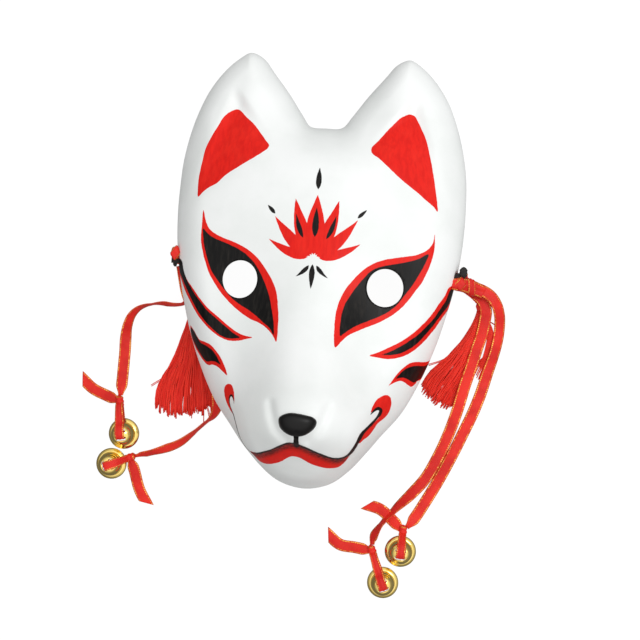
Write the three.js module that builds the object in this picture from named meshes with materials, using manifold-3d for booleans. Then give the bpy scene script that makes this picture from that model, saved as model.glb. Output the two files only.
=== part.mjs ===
// Fox mask lying face up on its rim, with ribbons, bells and tassels tied at the temples.
// Millimetres, +Z up out of the face, +Y towards the ear tips, origin under the middle of the shell.
import * as THREE from 'three';
import { mergeVertices } from 'three/addons/utils/BufferGeometryUtils.js';
import Module from 'manifold-3d';

const wasm = await Module();
wasm.setup();

// Sizes of the shell
const maskHeight = 259;
const maskWidth = 171.6;
const maskDepth = 92;
const wallThickness = 2.4;
const rimLift = 9;              // how far the rim arches up at the temples and cheeks
const shoulderWidth = 20;       // rounded band from the rim to the face
const earShoulderWidth = 13;
const eyeHoleWidth = 20.5;
const eyeHoleHeight = 21.5;
const noseWidth = 20;
const noseHeight = 12.6;
const noseRise = 3.2;
const mouthCreaseRadius = 1.3;
const strapHoleDiameter = 7;
const strapHoleAboveRim = 6;

// Sizes of what is tied on
const ribbonWidth = 7;
const ribbonThickness = 0.5;
const bellDiameter = 18.4;
const bellHeight = 11;
const bellWall = 0.8;
const bellSlotWidth = 2.2;
const bellBridge = 2.4;
const loopStripWidth = 4.4;
const knotRadius = 2.6;
const hitchRadius = 4.1;
const tasselHeadRadius = 3.1;
const tasselCordRadius = 0.9;
const bandWidth = 4;
const bandThickness = 1;
const clearance = 0.3;

const halfWidth = maskWidth / 2;
const halfHeight = maskHeight / 2;

// Helpers

// Smooth curve through [position, value] stations, flat beyond both ends
function smoothCurve(stations) {
  const slopeAt = (i) => {
    if (i === 0 || i === stations.length - 1) return 0;
    const [before, after] = [stations[i - 1], stations[i + 1]];
    return (after[1] - before[1]) / (after[0] - before[0]);
  };
  return (position) => {
    if (position <= stations[0][0]) return stations[0][1];
    const next = stations.findIndex((station) => station[0] > position);
    if (next < 0) return stations[stations.length - 1][1];
    const [from, to] = [stations[next - 1], stations[next]];
    const span = to[0] - from[0];
    const t = (position - from[0]) / span;
    const startPull = slopeAt(next - 1) * span * (t ** 3 - 2 * t ** 2 + t);
    const endPull = slopeAt(next) * span * (t ** 3 - t ** 2);
    return from[1] + (to[1] - from[1]) * (3 * t ** 2 - 2 * t ** 3) + startPull + endPull;
  };
}

const clamp01 = (value) => Math.min(1, Math.max(0, value));
const easeStep = (from, to, value) => {
  const t = clamp01((value - from) / (to - from));
  return t * t * (3 - 2 * t);
};

// Distance from a point to the segment from a to b, in the plane
function segmentDistance(x, y, a, b) {
  const [dx, dy] = [b[0] - a[0], b[1] - a[1]];
  const t = clamp01(((x - a[0]) * dx + (y - a[1]) * dy) / (dx * dx + dy * dy));
  return Math.hypot(x - a[0] - t * dx, y - a[1] - t * dy);
}

function toManifold(geometry) {
  const bare = geometry.clone();
  bare.deleteAttribute('normal');
  bare.deleteAttribute('uv');
  const merged = mergeVertices(bare, 1e-4);
  return new wasm.Manifold(new wasm.Mesh({
    numProp: 3,
    vertProperties: new Float32Array(merged.attributes.position.array),
    triVerts: new Uint32Array(merged.index.array),
  }));
}

function toGeometry(solid) {
  const mesh = solid.getMesh();
  const geometry = new THREE.BufferGeometry();
  geometry.setAttribute('position', new THREE.BufferAttribute(new Float32Array(mesh.vertProperties), 3));
  geometry.setIndex(new THREE.BufferAttribute(new Uint32Array(mesh.triVerts), 1));
  geometry.computeVertexNormals();
  return geometry;
}

// Closed solid through rings of equal length, capped by a fan to the middle of each end ring
function ringsGeometry(rings, startCentre, endCentre) {
  const count = rings[0].length;
  const positions = rings.flat(2).concat(startCentre, endCentre);
  const start = rings.length * count;
  const end = start + 1;
  const index = [];
  for (let side = 0; side < count; side += 1) {
    const next = (side + 1) % count;
    index.push(start, next, side);
    for (let ring = 0; ring < rings.length - 1; ring += 1) {
      const [low, high] = [ring * count, (ring + 1) * count];
      index.push(low + side, low + next, high + side);
      index.push(low + next, high + next, high + side);
    }
    const last = (rings.length - 1) * count;
    index.push(last + side, last + next, end);
  }
  const geometry = new THREE.BufferGeometry();
  geometry.setAttribute('position', new THREE.Float32BufferAttribute(positions, 3));
  geometry.setIndex(index);
  geometry.computeVertexNormals();
  return geometry;
}

// Solid swept through points, each [x, y, z] with its own half width and half height.
// The width lies level unless a fixed side direction is given; sharpness 1 is an ellipse, less is boxier.
function sweep(points, halfWidths, halfHeights, { sides = 8, sharpness = 1, side = null } = {}) {
  const path = points.map((point) => new THREE.Vector3(...point));
  const up = new THREE.Vector3(0, 0, 1);
  const rings = path.map((centre, i) => {
    const tangent = path[Math.min(i + 1, path.length - 1)].clone().sub(path[Math.max(i - 1, 0)]).normalize();
    const across = side ? side.clone() : new THREE.Vector3().crossVectors(tangent, up).normalize();
    const rise = new THREE.Vector3().crossVectors(tangent, across).normalize();
    return Array.from({ length: sides }, (_, k) => {
      const angle = ((k + 0.5) / sides) * 2 * Math.PI;
      const bend = (value) => Math.sign(value) * Math.abs(value) ** sharpness;
      return centre.clone()
        .addScaledVector(across, halfWidths[i] * bend(Math.cos(angle)))
        .addScaledVector(rise, halfHeights[i] * bend(Math.sin(angle)))
        .toArray();
    });
  });
  return ringsGeometry(rings, points[0], points[points.length - 1]);
}

function evenPoints(points, count) {
  const stations = points.map((point) => new THREE.Vector3(...point));
  const curve = new THREE.CatmullRomCurve3(stations, false, 'centripetal');
  return curve.getSpacedPoints(count).map((point) => point.toArray());
}

// Flat strip of constant width, square in section
function plainStrip(points, width, thickness, count, side = null) {
  const path = evenPoints(points, count);
  const [halfWidths, halfHeights] = [width, thickness].map((size) => path.map(() => size / 2));
  return sweep(path, halfWidths, halfHeights, { sides: 4, sharpness: 0, side });
}

// Length of ribbon, gathered where a knot holds its start or its end
function ribbonLength(points, count, gatherStart, gatherEnd) {
  const path = evenPoints(points, count);
  const gathered = 0.42;
  const reach = 2.5;
  const halfWidths = path.map((_, i) => {
    const open = Math.min(gatherStart ? i / reach : 1, gatherEnd ? (count - i) / reach : 1, 1);
    return (ribbonWidth / 2) * (gathered + (1 - gathered) * open);
  });
  return sweep(path, halfWidths, path.map(() => ribbonThickness / 2), { sharpness: 0.35 });
}

function roundCord(points, radius, count) {
  const path = evenPoints(points, count);
  return sweep(path, path.map(() => radius), path.map(() => radius), { sides: 8 });
}

function ball(centre, radiusX, radiusY, radiusZ) {
  const geometry = new THREE.SphereGeometry(1, 10, 7);
  geometry.scale(radiusX, radiusY, radiusZ);
  geometry.translate(...centre);
  return geometry;
}

// Outline of the shell, right half from the notch between the ears to the chin,
// as shares of half the width and half the height
const outlineShares = [
  [0, 0.666], [0.111, 0.672], [0.175, 0.726], [0.274, 0.819], [0.386, 0.911], [0.466, 0.975],
  [0.554, 1], [0.632, 0.973], [0.733, 0.911], [0.831, 0.819], [0.903, 0.71], [0.958, 0.587],
  [0.991, 0.463], [1, 0.324], [0.99, 0.154], [0.96, 0], [0.911, -0.154], [0.847, -0.309],
  [0.761, -0.463], [0.646, -0.618], [0.507, -0.737], [0.414, -0.819], [0.309, -0.903],
  [0.175, -0.973], [0, -1],
];

function outlinePoints(count) {
  const left = outlineShares.slice(1, -1).map(([u, v]) => [-u, v]);
  const right = outlineShares.slice().reverse();
  const shares = left.concat(right);
  const points = shares.map(([u, v]) => new THREE.Vector3(u * halfWidth, v * halfHeight, 0));
  const curve = new THREE.CatmullRomCurve3(points, true, 'centripetal');
  return Array.from({ length: count }, (_, i) => {
    const point = curve.getPoint(i / count);
    return [point.x, point.y];
  });
}

// Moves each point of a closed anticlockwise outline inwards by a distance
function insetOutline(outline, distance) {
  const count = outline.length;
  return outline.map(([x, y], i) => {
    const before = outline[(i + count - 1) % count];
    const after = outline[(i + 1) % count];
    const along = [after[0] - before[0], after[1] - before[1]];
    const length = Math.hypot(...along);
    return [x - (along[1] / length) * distance, y + (along[0] / length) * distance];
  });
}

function outlineDistance(outline, x, y) {
  const count = outline.length;
  return Math.min(...outline.map((point, i) => segmentDistance(x, y, point, outline[(i + 1) % count])));
}

// Relief of the face: heights are shares of the depth, places are shares of the half width and half height
const crownHeight = smoothCurve([
  [-1, 0.22], [-0.92, 0.3], [-0.81, 0.38], [-0.66, 0.45], [-0.46, 0.495], [-0.23, 0.515],
  [0, 0.515], [0.23, 0.485], [0.46, 0.43], [0.62, 0.375], [0.77, 0.31], [1, 0.23],
]);
const snoutHeight = smoothCurve([
  [-1, 0.02], [-0.92, 0.14], [-0.81, 0.3], [-0.74, 0.405], [-0.68, 0.475], [-0.62, 0.48], [-0.55, 0.42],
  [-0.46, 0.315], [-0.35, 0.205], [-0.23, 0.12], [-0.06, 0.045], [0.12, 0],
]);
const snoutSpread = smoothCurve([
  [-1, 0.32], [-0.86, 0.42], [-0.75, 0.475], [-0.64, 0.44], [-0.46, 0.38], [-0.23, 0.31], [0, 0.25],
]);
const rimShape = smoothCurve([
  [-0.84, 0], [-0.76, 0.16], [-0.65, 0.45], [-0.45, 0.85], [-0.2, 1], [0.05, 0.85], [0.25, 0.4], [0.42, 0],
]);
const earShoulder = smoothCurve([[0.5, 0], [0.7, 1]]);
const jawShoulder = smoothCurve([[-0.8, 1], [-0.6, 0]]);
const mouthLine = smoothCurve([
  [0, -0.739], [0.08, -0.749], [0.175, -0.776], [0.245, -0.788], [0.315, -0.782], [0.37, -0.757],
]);
const sideFall = 0.216;
const snoutSquareness = 2.3;
const valleyDepth = 0.155;
const valleyCrest = 0.56;
const socketDepth = 0.035;
const creaseDepth = 0.026;
const lipStep = 0.058;
const facetDepth = 0.05;
const facet = { apex: [0.589, 0.745], inner: [0.32, 0.548], low: [0.82, 0.28] };
const nostrilCrease = [[0.182, -0.575], [0.159, -0.625], [0.122, -0.676], [0.07, -0.714]];
const eyeAt = { u: 0.481, v: -0.061 };
const noseAt = -0.641;
const strapAt = 0.016;

// Ear facet: a triangle pressed in below the ear tip, which runs out flush at its lower edge
function facetPress(u, v) {
  const side = ([ax, ay], [bx, by]) => {
    const [dx, dy] = [(bx - ax) * halfWidth, (by - ay) * halfHeight];
    const [px, py] = [(u - ax) * halfWidth, (v - ay) * halfHeight];
    return (dx * py - dy * px) / Math.hypot(dx, dy);
  };
  const { apex, inner, low } = facet;
  const walls = easeStep(-5, 2.5, side(apex, inner)) * easeStep(-8, 1.5, side(low, apex));
  const tall = 0.29 * halfHeight;
  return walls * clamp01(side(inner, low) / tall);
}

function faceHeight(x, y) {
  const [u, v] = [Math.abs(x) / halfWidth, y / halfHeight];
  let share = crownHeight(v) - sideFall * u * u;
  const inside = Math.max(0, valleyCrest - u) / 0.25;
  share -= valleyDepth * easeStep(0.4, 0.76, v) * (1 - Math.exp(-inside * inside));
  share += snoutHeight(v) * Math.exp(-((u / snoutSpread(v)) ** snoutSquareness));
  share -= socketDepth * Math.exp(-(((u - 0.46) / 0.27) ** 2) - ((v + 0.05) / 0.17) ** 2);
  const creaseWidth = 0.03 * halfWidth;
  const crease = nostrilCrease.map(([cu, cv]) => [cu * halfWidth, cv * halfHeight]);
  const distances = crease.slice(1).map((end, i) => segmentDistance(Math.abs(x), y, crease[i], end));
  share -= creaseDepth * Math.exp(-((Math.min(...distances) / creaseWidth) ** 2));
  const belowMouth = (mouthLine(u) - v) / 0.022;
  share -= lipStep * easeStep(-0.35, 1, belowMouth) * (1 - easeStep(0.3, 0.42, u));
  share -= facetDepth * facetPress(u, v);
  return share * maskDepth;
}

// Height of the surface over a point that lies a distance inside the outline
function shellHeight(x, y, inside) {
  const v = y / halfHeight;
  const rim = rimLift * rimShape(v);
  const narrow = Math.max(earShoulder(v), jawShoulder(v));
  const shoulder = shoulderWidth + (earShoulderWidth - shoulderWidth) * narrow;
  const fromRim = clamp01(inside / shoulder);
  return rim + (faceHeight(x, y) - rim) * Math.sqrt(1 - (1 - fromRim) ** 2);
}

// How much higher than the wall is thick the outside lies above the inside, on a slope
function wallRise(x, y) {
  const step = 8;
  const slopeX = (faceHeight(x + step, y) - faceHeight(x - step, y)) / (2 * step);
  const slopeY = (faceHeight(x, y + step) - faceHeight(x, y - step)) / (2 * step);
  return wallThickness * Math.min(1.7, Math.hypot(1, slopeX, slopeY));
}

// Solid under the face, from the hub of the rings out to the outline
function domeSolid(sectors, ringCount, inset, floor) {
  const hub = [0, -0.04 * halfHeight];
  const outline = insetOutline(outlinePoints(sectors), inset);
  const fine = insetOutline(outlinePoints(192), inset);
  const crowding = 1.22;
  const rings = [];
  if (floor !== null) rings.push(outline.map(([x, y]) => [x, y, floor]));
  for (let ring = 0; ring < ringCount; ring += 1) {
    const share = 1 - (ring / ringCount) ** crowding;
    rings.push(outline.map(([edgeX, edgeY]) => {
      const x = hub[0] + (edgeX - hub[0]) * share;
      const y = hub[1] + (edgeY - hub[1]) * share;
      const inside = ring === 0 ? 0 : outlineDistance(fine, x, y);
      const drop = inset > 0 ? wallRise(x, y) * Math.sqrt(clamp01(inside / earShoulderWidth)) : 0;
      return [x, y, shellHeight(x, y, inside) - drop];
    }));
  }
  const top = faceHeight(...hub) - (inset > 0 ? wallRise(...hub) : 0);
  return toManifold(ringsGeometry(rings, [hub[0], hub[1], floor ?? 0], [hub[0], hub[1], top]));
}

function ovalPrism(width, height, low, high) {
  const outline = new THREE.Shape();
  outline.absellipse(0, 0, width / 2, height / 2, 0, 2 * Math.PI);
  const depth = high - low;
  const prism = new THREE.ExtrudeGeometry(outline, { depth, bevelEnabled: false, curveSegments: 10 });
  prism.translate(0, 0, low);
  return prism;
}

// Nose pad: a low dome that follows the tip of the snout, flat along its top and narrower below
function nosePad() {
  const centreY = noseAt * halfHeight;
  const levels = [[0.9, -1.2], [1, 0.1], [0.96, 0.5], [0.84, 0.78], [0.5, 0.97]];
  const rings = levels.map(([share, lift]) => Array.from({ length: 20 }, (_, k) => {
    const angle = (k / 20) * 2 * Math.PI;
    const x = (noseWidth / 2) * share * Math.cos(angle) * (1 + 0.2 * Math.sin(angle));
    const y = centreY + (noseHeight / 2) * share * Math.sin(angle);
    return [x, y, faceHeight(x, y) + lift * noseRise];
  }));
  const seat = faceHeight(0, centreY);
  return toManifold(ringsGeometry(rings, [0, centreY, seat - 1.2 * noseRise], [0, centreY, seat + noseRise]));
}

// Crease between the lips, cut along the mouth line
function mouthCrease() {
  const reach = 0.36;
  const points = Array.from({ length: 17 }, (_, i) => {
    const u = reach * (i / 8 - 1);
    const [x, y] = [u * halfWidth, mouthLine(Math.abs(u)) * halfHeight];
    return [x, y, faceHeight(x, y) + 0.2];
  });
  const fade = (i) => Math.sin((Math.PI * (i + 1)) / (points.length + 1)) ** 0.4;
  const radii = points.map((_, i) => mouthCreaseRadius * fade(i));
  return toManifold(sweep(points, radii, radii, { sides: 6 }));
}

const rimAtStrap = rimLift * rimShape(strapAt);
const strapHole = { x: 0.96 * halfWidth, y: strapAt * halfHeight, z: rimAtStrap + strapHoleAboveRim };

function maskShell() {
  const hollow = domeSolid(60, 12, wallThickness, -5);
  let shell = domeSolid(88, 22, 0, null).subtract(mouthCrease()).add(nosePad()).subtract(hollow);
  for (const mirror of [-1, 1]) {
    const eye = ovalPrism(eyeHoleWidth, eyeHoleHeight, 0, maskDepth);
    eye.translate(mirror * eyeAt.u * halfWidth, eyeAt.v * halfHeight, 0);
    const strap = new THREE.CylinderGeometry(strapHoleDiameter / 2, strapHoleDiameter / 2, 16, 16);
    strap.rotateZ(Math.PI / 2);
    strap.translate(mirror * strapHole.x, strapHole.y, strapHole.z);
    shell = shell.subtract(toManifold(eye)).subtract(toManifold(strap));
  }
  return shell;
}

// Bell: a flared cup standing on its mouth, with two slots and a bridge in the crown for the ribbon
const bellOuter = [
  [1, 0], [1.01, 0.08], [0.9, 0.17], [0.785, 0.29], [0.75, 0.45], [0.685, 0.68], [0.54, 0.87], [0.35, 0.97],
];

function bellSolid() {
  const radius = bellDiameter / 2;
  const outside = bellOuter.map(([r, z]) => new THREE.Vector2(r * radius, z * bellHeight));
  const inside = bellOuter.map(([r, z]) => new THREE.Vector2(
    Math.max(r * radius - bellWall, 0), Math.max(z * bellHeight - (z > 0.8 ? bellWall : bellWall * z), 0),
  ));
  const profile = [
    ...outside, new THREE.Vector2(0, bellHeight), new THREE.Vector2(0, bellHeight - bellWall),
    ...inside.reverse(),
  ];
  profile.push(profile[0].clone());
  const cup = new THREE.LatheGeometry(profile, 14);
  cup.rotateX(Math.PI / 2);
  let solid = toManifold(cup);
  for (const mirror of [-1, 1]) {
    const slot = new THREE.BoxGeometry(bellSlotWidth, loopStripWidth + 4 * clearance, 4);
    slot.translate(mirror * (bellBridge + bellSlotWidth) / 2, 0, bellHeight);
    solid = solid.subtract(toManifold(slot));
  }
  return solid;
}

// Ribbon strip from the knot over the bell, through both slots round the bridge and back to the knot,
// as [distance from the bell's axis towards the knot, height]
function bellLoop(knotDistance) {
  const over = bellHeight + ribbonThickness / 2;
  const slotAt = (bellBridge + bellSlotWidth) / 2;
  const under = bellHeight - bellWall - 2 * clearance - ribbonThickness / 2;
  return [
    [knotDistance, 3.8], [knotDistance - 2.2, 6.6], [0.8 * bellDiameter / 2, over - 1.5],
    [0.52 * bellDiameter / 2, over + 0.7], [1.5, over + 1.7], [-1, over + 1.5], [-slotAt - 0.15, over + 0.2],
    [-slotAt, over - 0.9], [-slotAt + 0.5, under - 0.1], [0, under - 0.3], [slotAt - 0.5, under - 0.1],
    [slotAt, over - 0.9], [slotAt + 0.5, over + 0.25], [0.48 * bellDiameter / 2, over + 0.05],
    [0.66 * bellDiameter / 2, over - 1.9], [0.83 * bellDiameter / 2, 6.4], [1.08 * bellDiameter / 2, 4.3],
    [knotDistance, 2.4],
  ];
}

// Routes of the ribbons, bells and tassels, chosen by hand from the picture
const ribbonRoutes = {
  left_outer: {
    route: [
      [-83.4, -1.2, 3.2], [-81.8, -6, 2.8], [-79.4, -11.5, 2.2], [-77.6, -16.2, 1.4], [-77, -20.2, 0.8],
      [-79, -23.6, 0.5], [-84, -24.7, 0.5], [-92.9, -24.5, 0.5], [-97.8, -25.2, 0.5], [-102.6, -26.4, 0.5],
      [-106.8, -28.7, 0.5], [-110.2, -32.6, 0.5], [-112.4, -38.5, 0.5], [-113.4, -46.5, 0.5],
      [-113.8, -58.5, 0.5], [-114.2, -72, 0.8], [-114.3, -81.2, 2.4],
    ],
    knot: [-114.3, -84.9, 3],
    bell: [-111.1, -104.3],
    tail: [[-123.4, -81.8, 1.6], [-131.6, -78.5, 0.8], [-138.7, -72.9, 0.5]],
  },
  left_inner: {
    route: [
      [-83.2, -1.2, 6.2], [-81.6, -6, 6.5], [-78.8, -12.7, 6.8], [-75.2, -21.5, 6.8], [-71.4, -31, 6.4],
      [-67, -42, 5.9], [-62.5, -54, 5.4], [-58.2, -66, 4.8], [-55.4, -76, 4.1], [-55, -84, 3], [-57.4, -90.4, 1.6],
      [-62.1, -95, 0.8], [-67.7, -100.3, 0.5], [-76.4, -107.6, 0.5], [-85.3, -111.8, 0.5],
      [-94.3, -114.9, 0.8], [-102.8, -117.2, 2.4],
    ],
    knot: [-106.2, -118.3, 3],
    bell: [-117.6, -122.9],
    tail: [[-103.4, -125.5, 1.4], [-99.6, -137.3, 0.5], [-94.8, -145.4, 0.5]],
  },
  right_inner: {
    route: [
      [92.6, -8.6, 7.5], [96, -9.9, 7.5], [99.4, -12.5, 7.5], [101, -16.8, 7.2], [100.8, -22, 6.4],
      [99.4, -31.6, 5.4], [97.4, -38.9, 5], [94.8, -49.7, 4.6], [91.5, -62, 4.2], [88.5, -75.1, 3.8],
      [84.4, -89.6, 2.4], [79, -104, 1.8], [71.8, -118.6, 1.5], [64.2, -128, 0.9], [55.4, -137, 0.5],
      [47.4, -146.9, 0.5], [43.2, -155.2, 1], [42.8, -159.8, 2.4],
    ],
    knot: [43.3, -163.5, 3],
    bell: [50.6, -182.1],
    tail: [[32.8, -162.4, 1], [23.8, -161.5, 0.5], [16.3, -156.1, 0.5]],
  },
  right_outer: {
    route: [
      [94, -3.8, 11.2], [98, -5, 11.2], [103, -7.8, 10.4], [106.9, -12.6, 8.6], [109.2, -18.6, 5.6],
      [110, -24.5, 2.6], [109.8, -31.5, 0.8], [108.2, -41, 0.5], [104.9, -53, 0.5], [101.4, -66.2, 0.5],
      [97.6, -77.6, 0.5], [92.9, -89.3, 0.5], [86.8, -103.8, 0.5], [80, -118.6, 0.5], [72.3, -133.4, 0.5],
      [66.4, -143.6, 1], [62.8, -148, 2.4],
    ],
    knot: [60.6, -150.4, 3],
    bell: [59.9, -162.7],
    tail: [[54.2, -144.6, 2.2], [46.6, -138.6, 1.9], [38.4, -136.5, 0.6]],
  },
};

const tasselRoutes = {
  left: {
    head: [-69, -11, 3.6],
    spine: [[-69.9, -15.4], [-71.6, -24], [-72.6, -36], [-73.4, -57], [-76, -76], [-74.4, -86]],
    spread: [1.9, 2.6, 4.2, 9.6, 16.5, 14],
    thick: [1.9, 2.2, 2.3, 2, 1.5, 0.9],
  },
  right: {
    head: [98.2, -14.3, 3.6],
    spine: [[97.9, -18.6], [96.6, -25.5], [93.6, -35], [88, -49], [81.4, -64], [78.8, -70.5]],
    spread: [1.9, 2.8, 4.4, 8.6, 13, 11],
    thick: [1.9, 2.2, 2.2, 1.9, 1.5, 0.9],
  },
};

function ribbonLeg({ route }) {
  return ribbonLength(route, 18, true, true);
}

function bellKnot({ knot, bell, tail }) {
  const toKnot = new THREE.Vector3(knot[0] - bell[0], knot[1] - bell[1], 0);
  const distance = toKnot.length();
  toKnot.normalize();
  const side = new THREE.Vector3(-toKnot.y, toKnot.x, 0);
  const loop = bellLoop(distance).map(([r, z]) => [bell[0] + toKnot.x * r, bell[1] + toKnot.y * r, z]);
  const lump = toManifold(ball(knot, knotRadius * 1.15, knotRadius * 1.15, knotRadius));
  const strip = toManifold(plainStrip(loop, loopStripWidth, ribbonThickness, 34, side));
  const end = toManifold(ribbonLength([knot, ...tail], 6, true, false));
  return lump.add(strip).add(end);
}

function placedBell({ knot, bell }) {
  const turn = Math.atan2(knot[1] - bell[1], knot[0] - bell[0]);
  return bellSolid().rotate([0, 0, (turn * 180) / Math.PI]).translate([bell[0], bell[1], 0]);
}

// What is tied on outside each strap hole, as [outwards, along] from the middle of the hole
const tiedOn = {
  left: { mirror: -1, lump: [4.6, 4.7], bandKnot: [3.6, -2.9], cordStart: [1.4, -4.4], cordDrop: 3.3 },
  right: { mirror: 1, lump: [6.6, -4], bandKnot: [3.6, 2.4], cordStart: [4.5, -7.5], cordDrop: 4 },
};

function besideHole(mirror, [outwards, along], height) {
  return [mirror * (strapHole.x + outwards), strapHole.y + along, height];
}

// Hitch: a loop of ribbon through the strap hole and under the rim, tied in a lump outside
function ribbonHitch({ mirror, lump: lumpAt }) {
  const { x, y, z } = strapHole;
  const below = rimAtStrap - 2;
  const through = z - 1.2;
  const loop = [
    [x + 6.4, through - 1.4], [x + 3.4, through], [x, through], [x - 3.6, through - 0.4],
    [x - 5.4, through - 2.6], [x - 5.2, below + 2.2], [x - 3, below], [x + 0.4, below - 0.4],
    [x + 3.2, below + 0.4], [x + 6, below + 2],
  ].map(([px, pz]) => [mirror * px, y, pz]);
  const lumpCentre = besideHole(mirror, lumpAt, rimAtStrap + 2.2);
  const lump = toManifold(ball(lumpCentre, hitchRadius * 0.8, hitchRadius, hitchRadius * 0.95));
  const strip = plainStrip(loop, loopStripWidth, ribbonThickness, 20, new THREE.Vector3(0, 1, 0));
  return lump.add(toManifold(strip));
}

function tassel({ mirror, cordStart, cordDrop }, { head, spine, spread, thick }) {
  const hitch = besideHole(mirror, cordStart, rimAtStrap - cordDrop);
  const skirtPath = spine.map(([x, y], i) => [x, y, thick[i] + 0.3]);
  const skirt = sweep([head, ...skirtPath], [1.6, ...spread], [1.6, ...thick], { sides: 12, sharpness: 0.8 });
  const between = [(hitch[0] + head[0]) / 2, (hitch[1] + head[1]) / 2 + 0.6, 4.6];
  const cord = roundCord([hitch, between, head], tasselCordRadius, 6);
  const knob = toManifold(ball(head, tasselHeadRadius, tasselHeadRadius, tasselHeadRadius));
  return knob.add(toManifold(skirt)).add(toManifold(cord));
}

// Elastic head band: knotted outside both strap holes, it lies on the surface inside the hollow
const bandRoute = [
  [0, 72, 0.6], [14, 71.4, 0.6], [30, 66, 0.6], [44, 56, 0.6], [55, 43, 0.7], [62, 30, 2.4],
  [67.5, 18, 7], [71.5, 9.5, 11.6],
];

function headBand() {
  const { x: holeX, y: holeY, z: holeZ } = strapHole;
  const throughHole = [
    [holeX - 6.4, holeY + 0.8, holeZ + 0.9], [holeX - 2.8, holeY, holeZ + 1.5],
    [holeX, holeY, holeZ + 1.5], [holeX + 3.4, holeY, holeZ + 1.5],
  ];
  const right = [...bandRoute, ...throughHole];
  const left = right.slice(1).reverse().map(([x, y, z]) => [-x, y, z]);
  let band = toManifold(plainStrip([...left, ...right], bandWidth, bandThickness, 40));
  for (const { mirror, bandKnot } of Object.values(tiedOn)) {
    const knot = besideHole(mirror, bandKnot, holeZ + 1.9);
    band = band.add(toManifold(ball(knot, 2.5, 3.2, 2.5)));
  }
  return band;
}

// Materials
const paint = (color, roughness, metalness = 0) => (
  new THREE.MeshStandardMaterial({ color, roughness, metalness })
);
const whiteShell = paint('#eef0ee', 0.4);
const redSatin = paint('#d8281c', 0.45);
const redThread = paint('#b81f18', 0.7);
const goldPlate = paint('#e0b93a', 0.22, 1);
const blackElastic = paint('#141414', 0.8);

const mask = new THREE.Group();

function addPiece(name, solid, material) {
  const geometry = solid instanceof THREE.BufferGeometry ? solid : toGeometry(solid);
  const mesh = new THREE.Mesh(geometry, material);
  mesh.name = name;
  mask.add(mesh);
}

addPiece('mask_shell', maskShell(), whiteShell);
addPiece('head_band', headBand(), blackElastic);
for (const [name, tied] of Object.entries(tiedOn)) {
  addPiece(`ribbon_hitch_${name}`, ribbonHitch(tied), redSatin);
  addPiece(`tassel_${name}`, tassel(tied, tasselRoutes[name]), redThread);
}
for (const [name, strand] of Object.entries(ribbonRoutes)) {
  addPiece(`ribbon_${name}`, ribbonLeg(strand), redSatin);
  addPiece(`ribbon_end_${name}`, bellKnot(strand), redSatin);
  addPiece(`bell_${name}`, placedBell(strand), goldPlate);
}

export default mask;
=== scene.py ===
# Fox mask lying face up with its ribbons, bells and tassels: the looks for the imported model.
# Lengths are in millimetres until a mesh is made, +Z is up out of the face and +Y points to the ear tips.
import math
import random

import bmesh
import bpy
import numpy as np
from mathutils import Matrix, Vector


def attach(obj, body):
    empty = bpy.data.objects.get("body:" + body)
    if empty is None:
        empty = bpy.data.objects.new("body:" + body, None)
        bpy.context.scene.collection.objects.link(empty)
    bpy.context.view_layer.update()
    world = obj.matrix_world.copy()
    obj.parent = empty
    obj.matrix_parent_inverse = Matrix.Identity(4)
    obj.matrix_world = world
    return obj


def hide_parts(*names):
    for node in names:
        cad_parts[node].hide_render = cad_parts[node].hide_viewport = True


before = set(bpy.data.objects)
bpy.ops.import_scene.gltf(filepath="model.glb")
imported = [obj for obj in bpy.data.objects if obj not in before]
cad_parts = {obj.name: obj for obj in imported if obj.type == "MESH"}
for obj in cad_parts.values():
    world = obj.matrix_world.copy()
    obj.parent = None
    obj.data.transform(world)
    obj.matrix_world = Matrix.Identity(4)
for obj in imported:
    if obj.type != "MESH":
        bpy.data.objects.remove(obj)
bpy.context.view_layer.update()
body = "root"
metres = 0.001
fullTurn = 2 * math.pi


# Colours and nodes

def linearColour(code):
    channels = [int(code[i:i + 2], 16) / 255 for i in (1, 3, 5)]
    return [c / 12.92 if c <= 0.04045 else ((c + 0.055) / 1.055) ** 2.4 for c in channels] + [1.0]


def addNode(tree, kind, inputs=None, output=0, **settings):
    node = tree.nodes.new(kind)
    for name, value in settings.items():
        setattr(node, name, value)
    for socket, value in (inputs or {}).items():
        if isinstance(value, bpy.types.NodeSocket):
            tree.links.new(value, node.inputs[socket])
        else:
            node.inputs[socket].default_value = value
    return node.outputs[output]


smooth = {"interpolation_type": "SMOOTHSTEP"}


def newMaterial(name):
    material = bpy.data.materials.new(name)
    material.use_nodes = True
    tree = material.node_tree
    return material, tree, tree.nodes["Principled BSDF"]


def perMetre(size):
    return 1 / (size * metres)  # noise scale that gives features of this many millimetres


# Curves and meshes

def clamp01(value):
    return np.clip(value, 0.0, 1.0)


def easeStep(low, high, value):
    t = clamp01((value - low) / (high - low))
    return t * t * (3 - 2 * t)


def smoothCurve(stations):
    xs, ys = np.array(stations, float).T
    slopes = np.zeros(len(xs))
    slopes[1:-1] = (ys[2:] - ys[:-2]) / (xs[2:] - xs[:-2])

    def evaluate(position):
        position = np.clip(np.asarray(position, float), xs[0], xs[-1])
        k = np.clip(np.searchsorted(xs, position, side="right") - 1, 0, len(xs) - 2)
        span = xs[k + 1] - xs[k]
        t = (position - xs[k]) / span
        rise = ys[k] + (ys[k + 1] - ys[k]) * (3 * t**2 - 2 * t**3)
        return rise + slopes[k] * span * (t**3 - 2 * t**2 + t) + slopes[k + 1] * span * (t**3 - t**2)

    return evaluate


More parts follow.
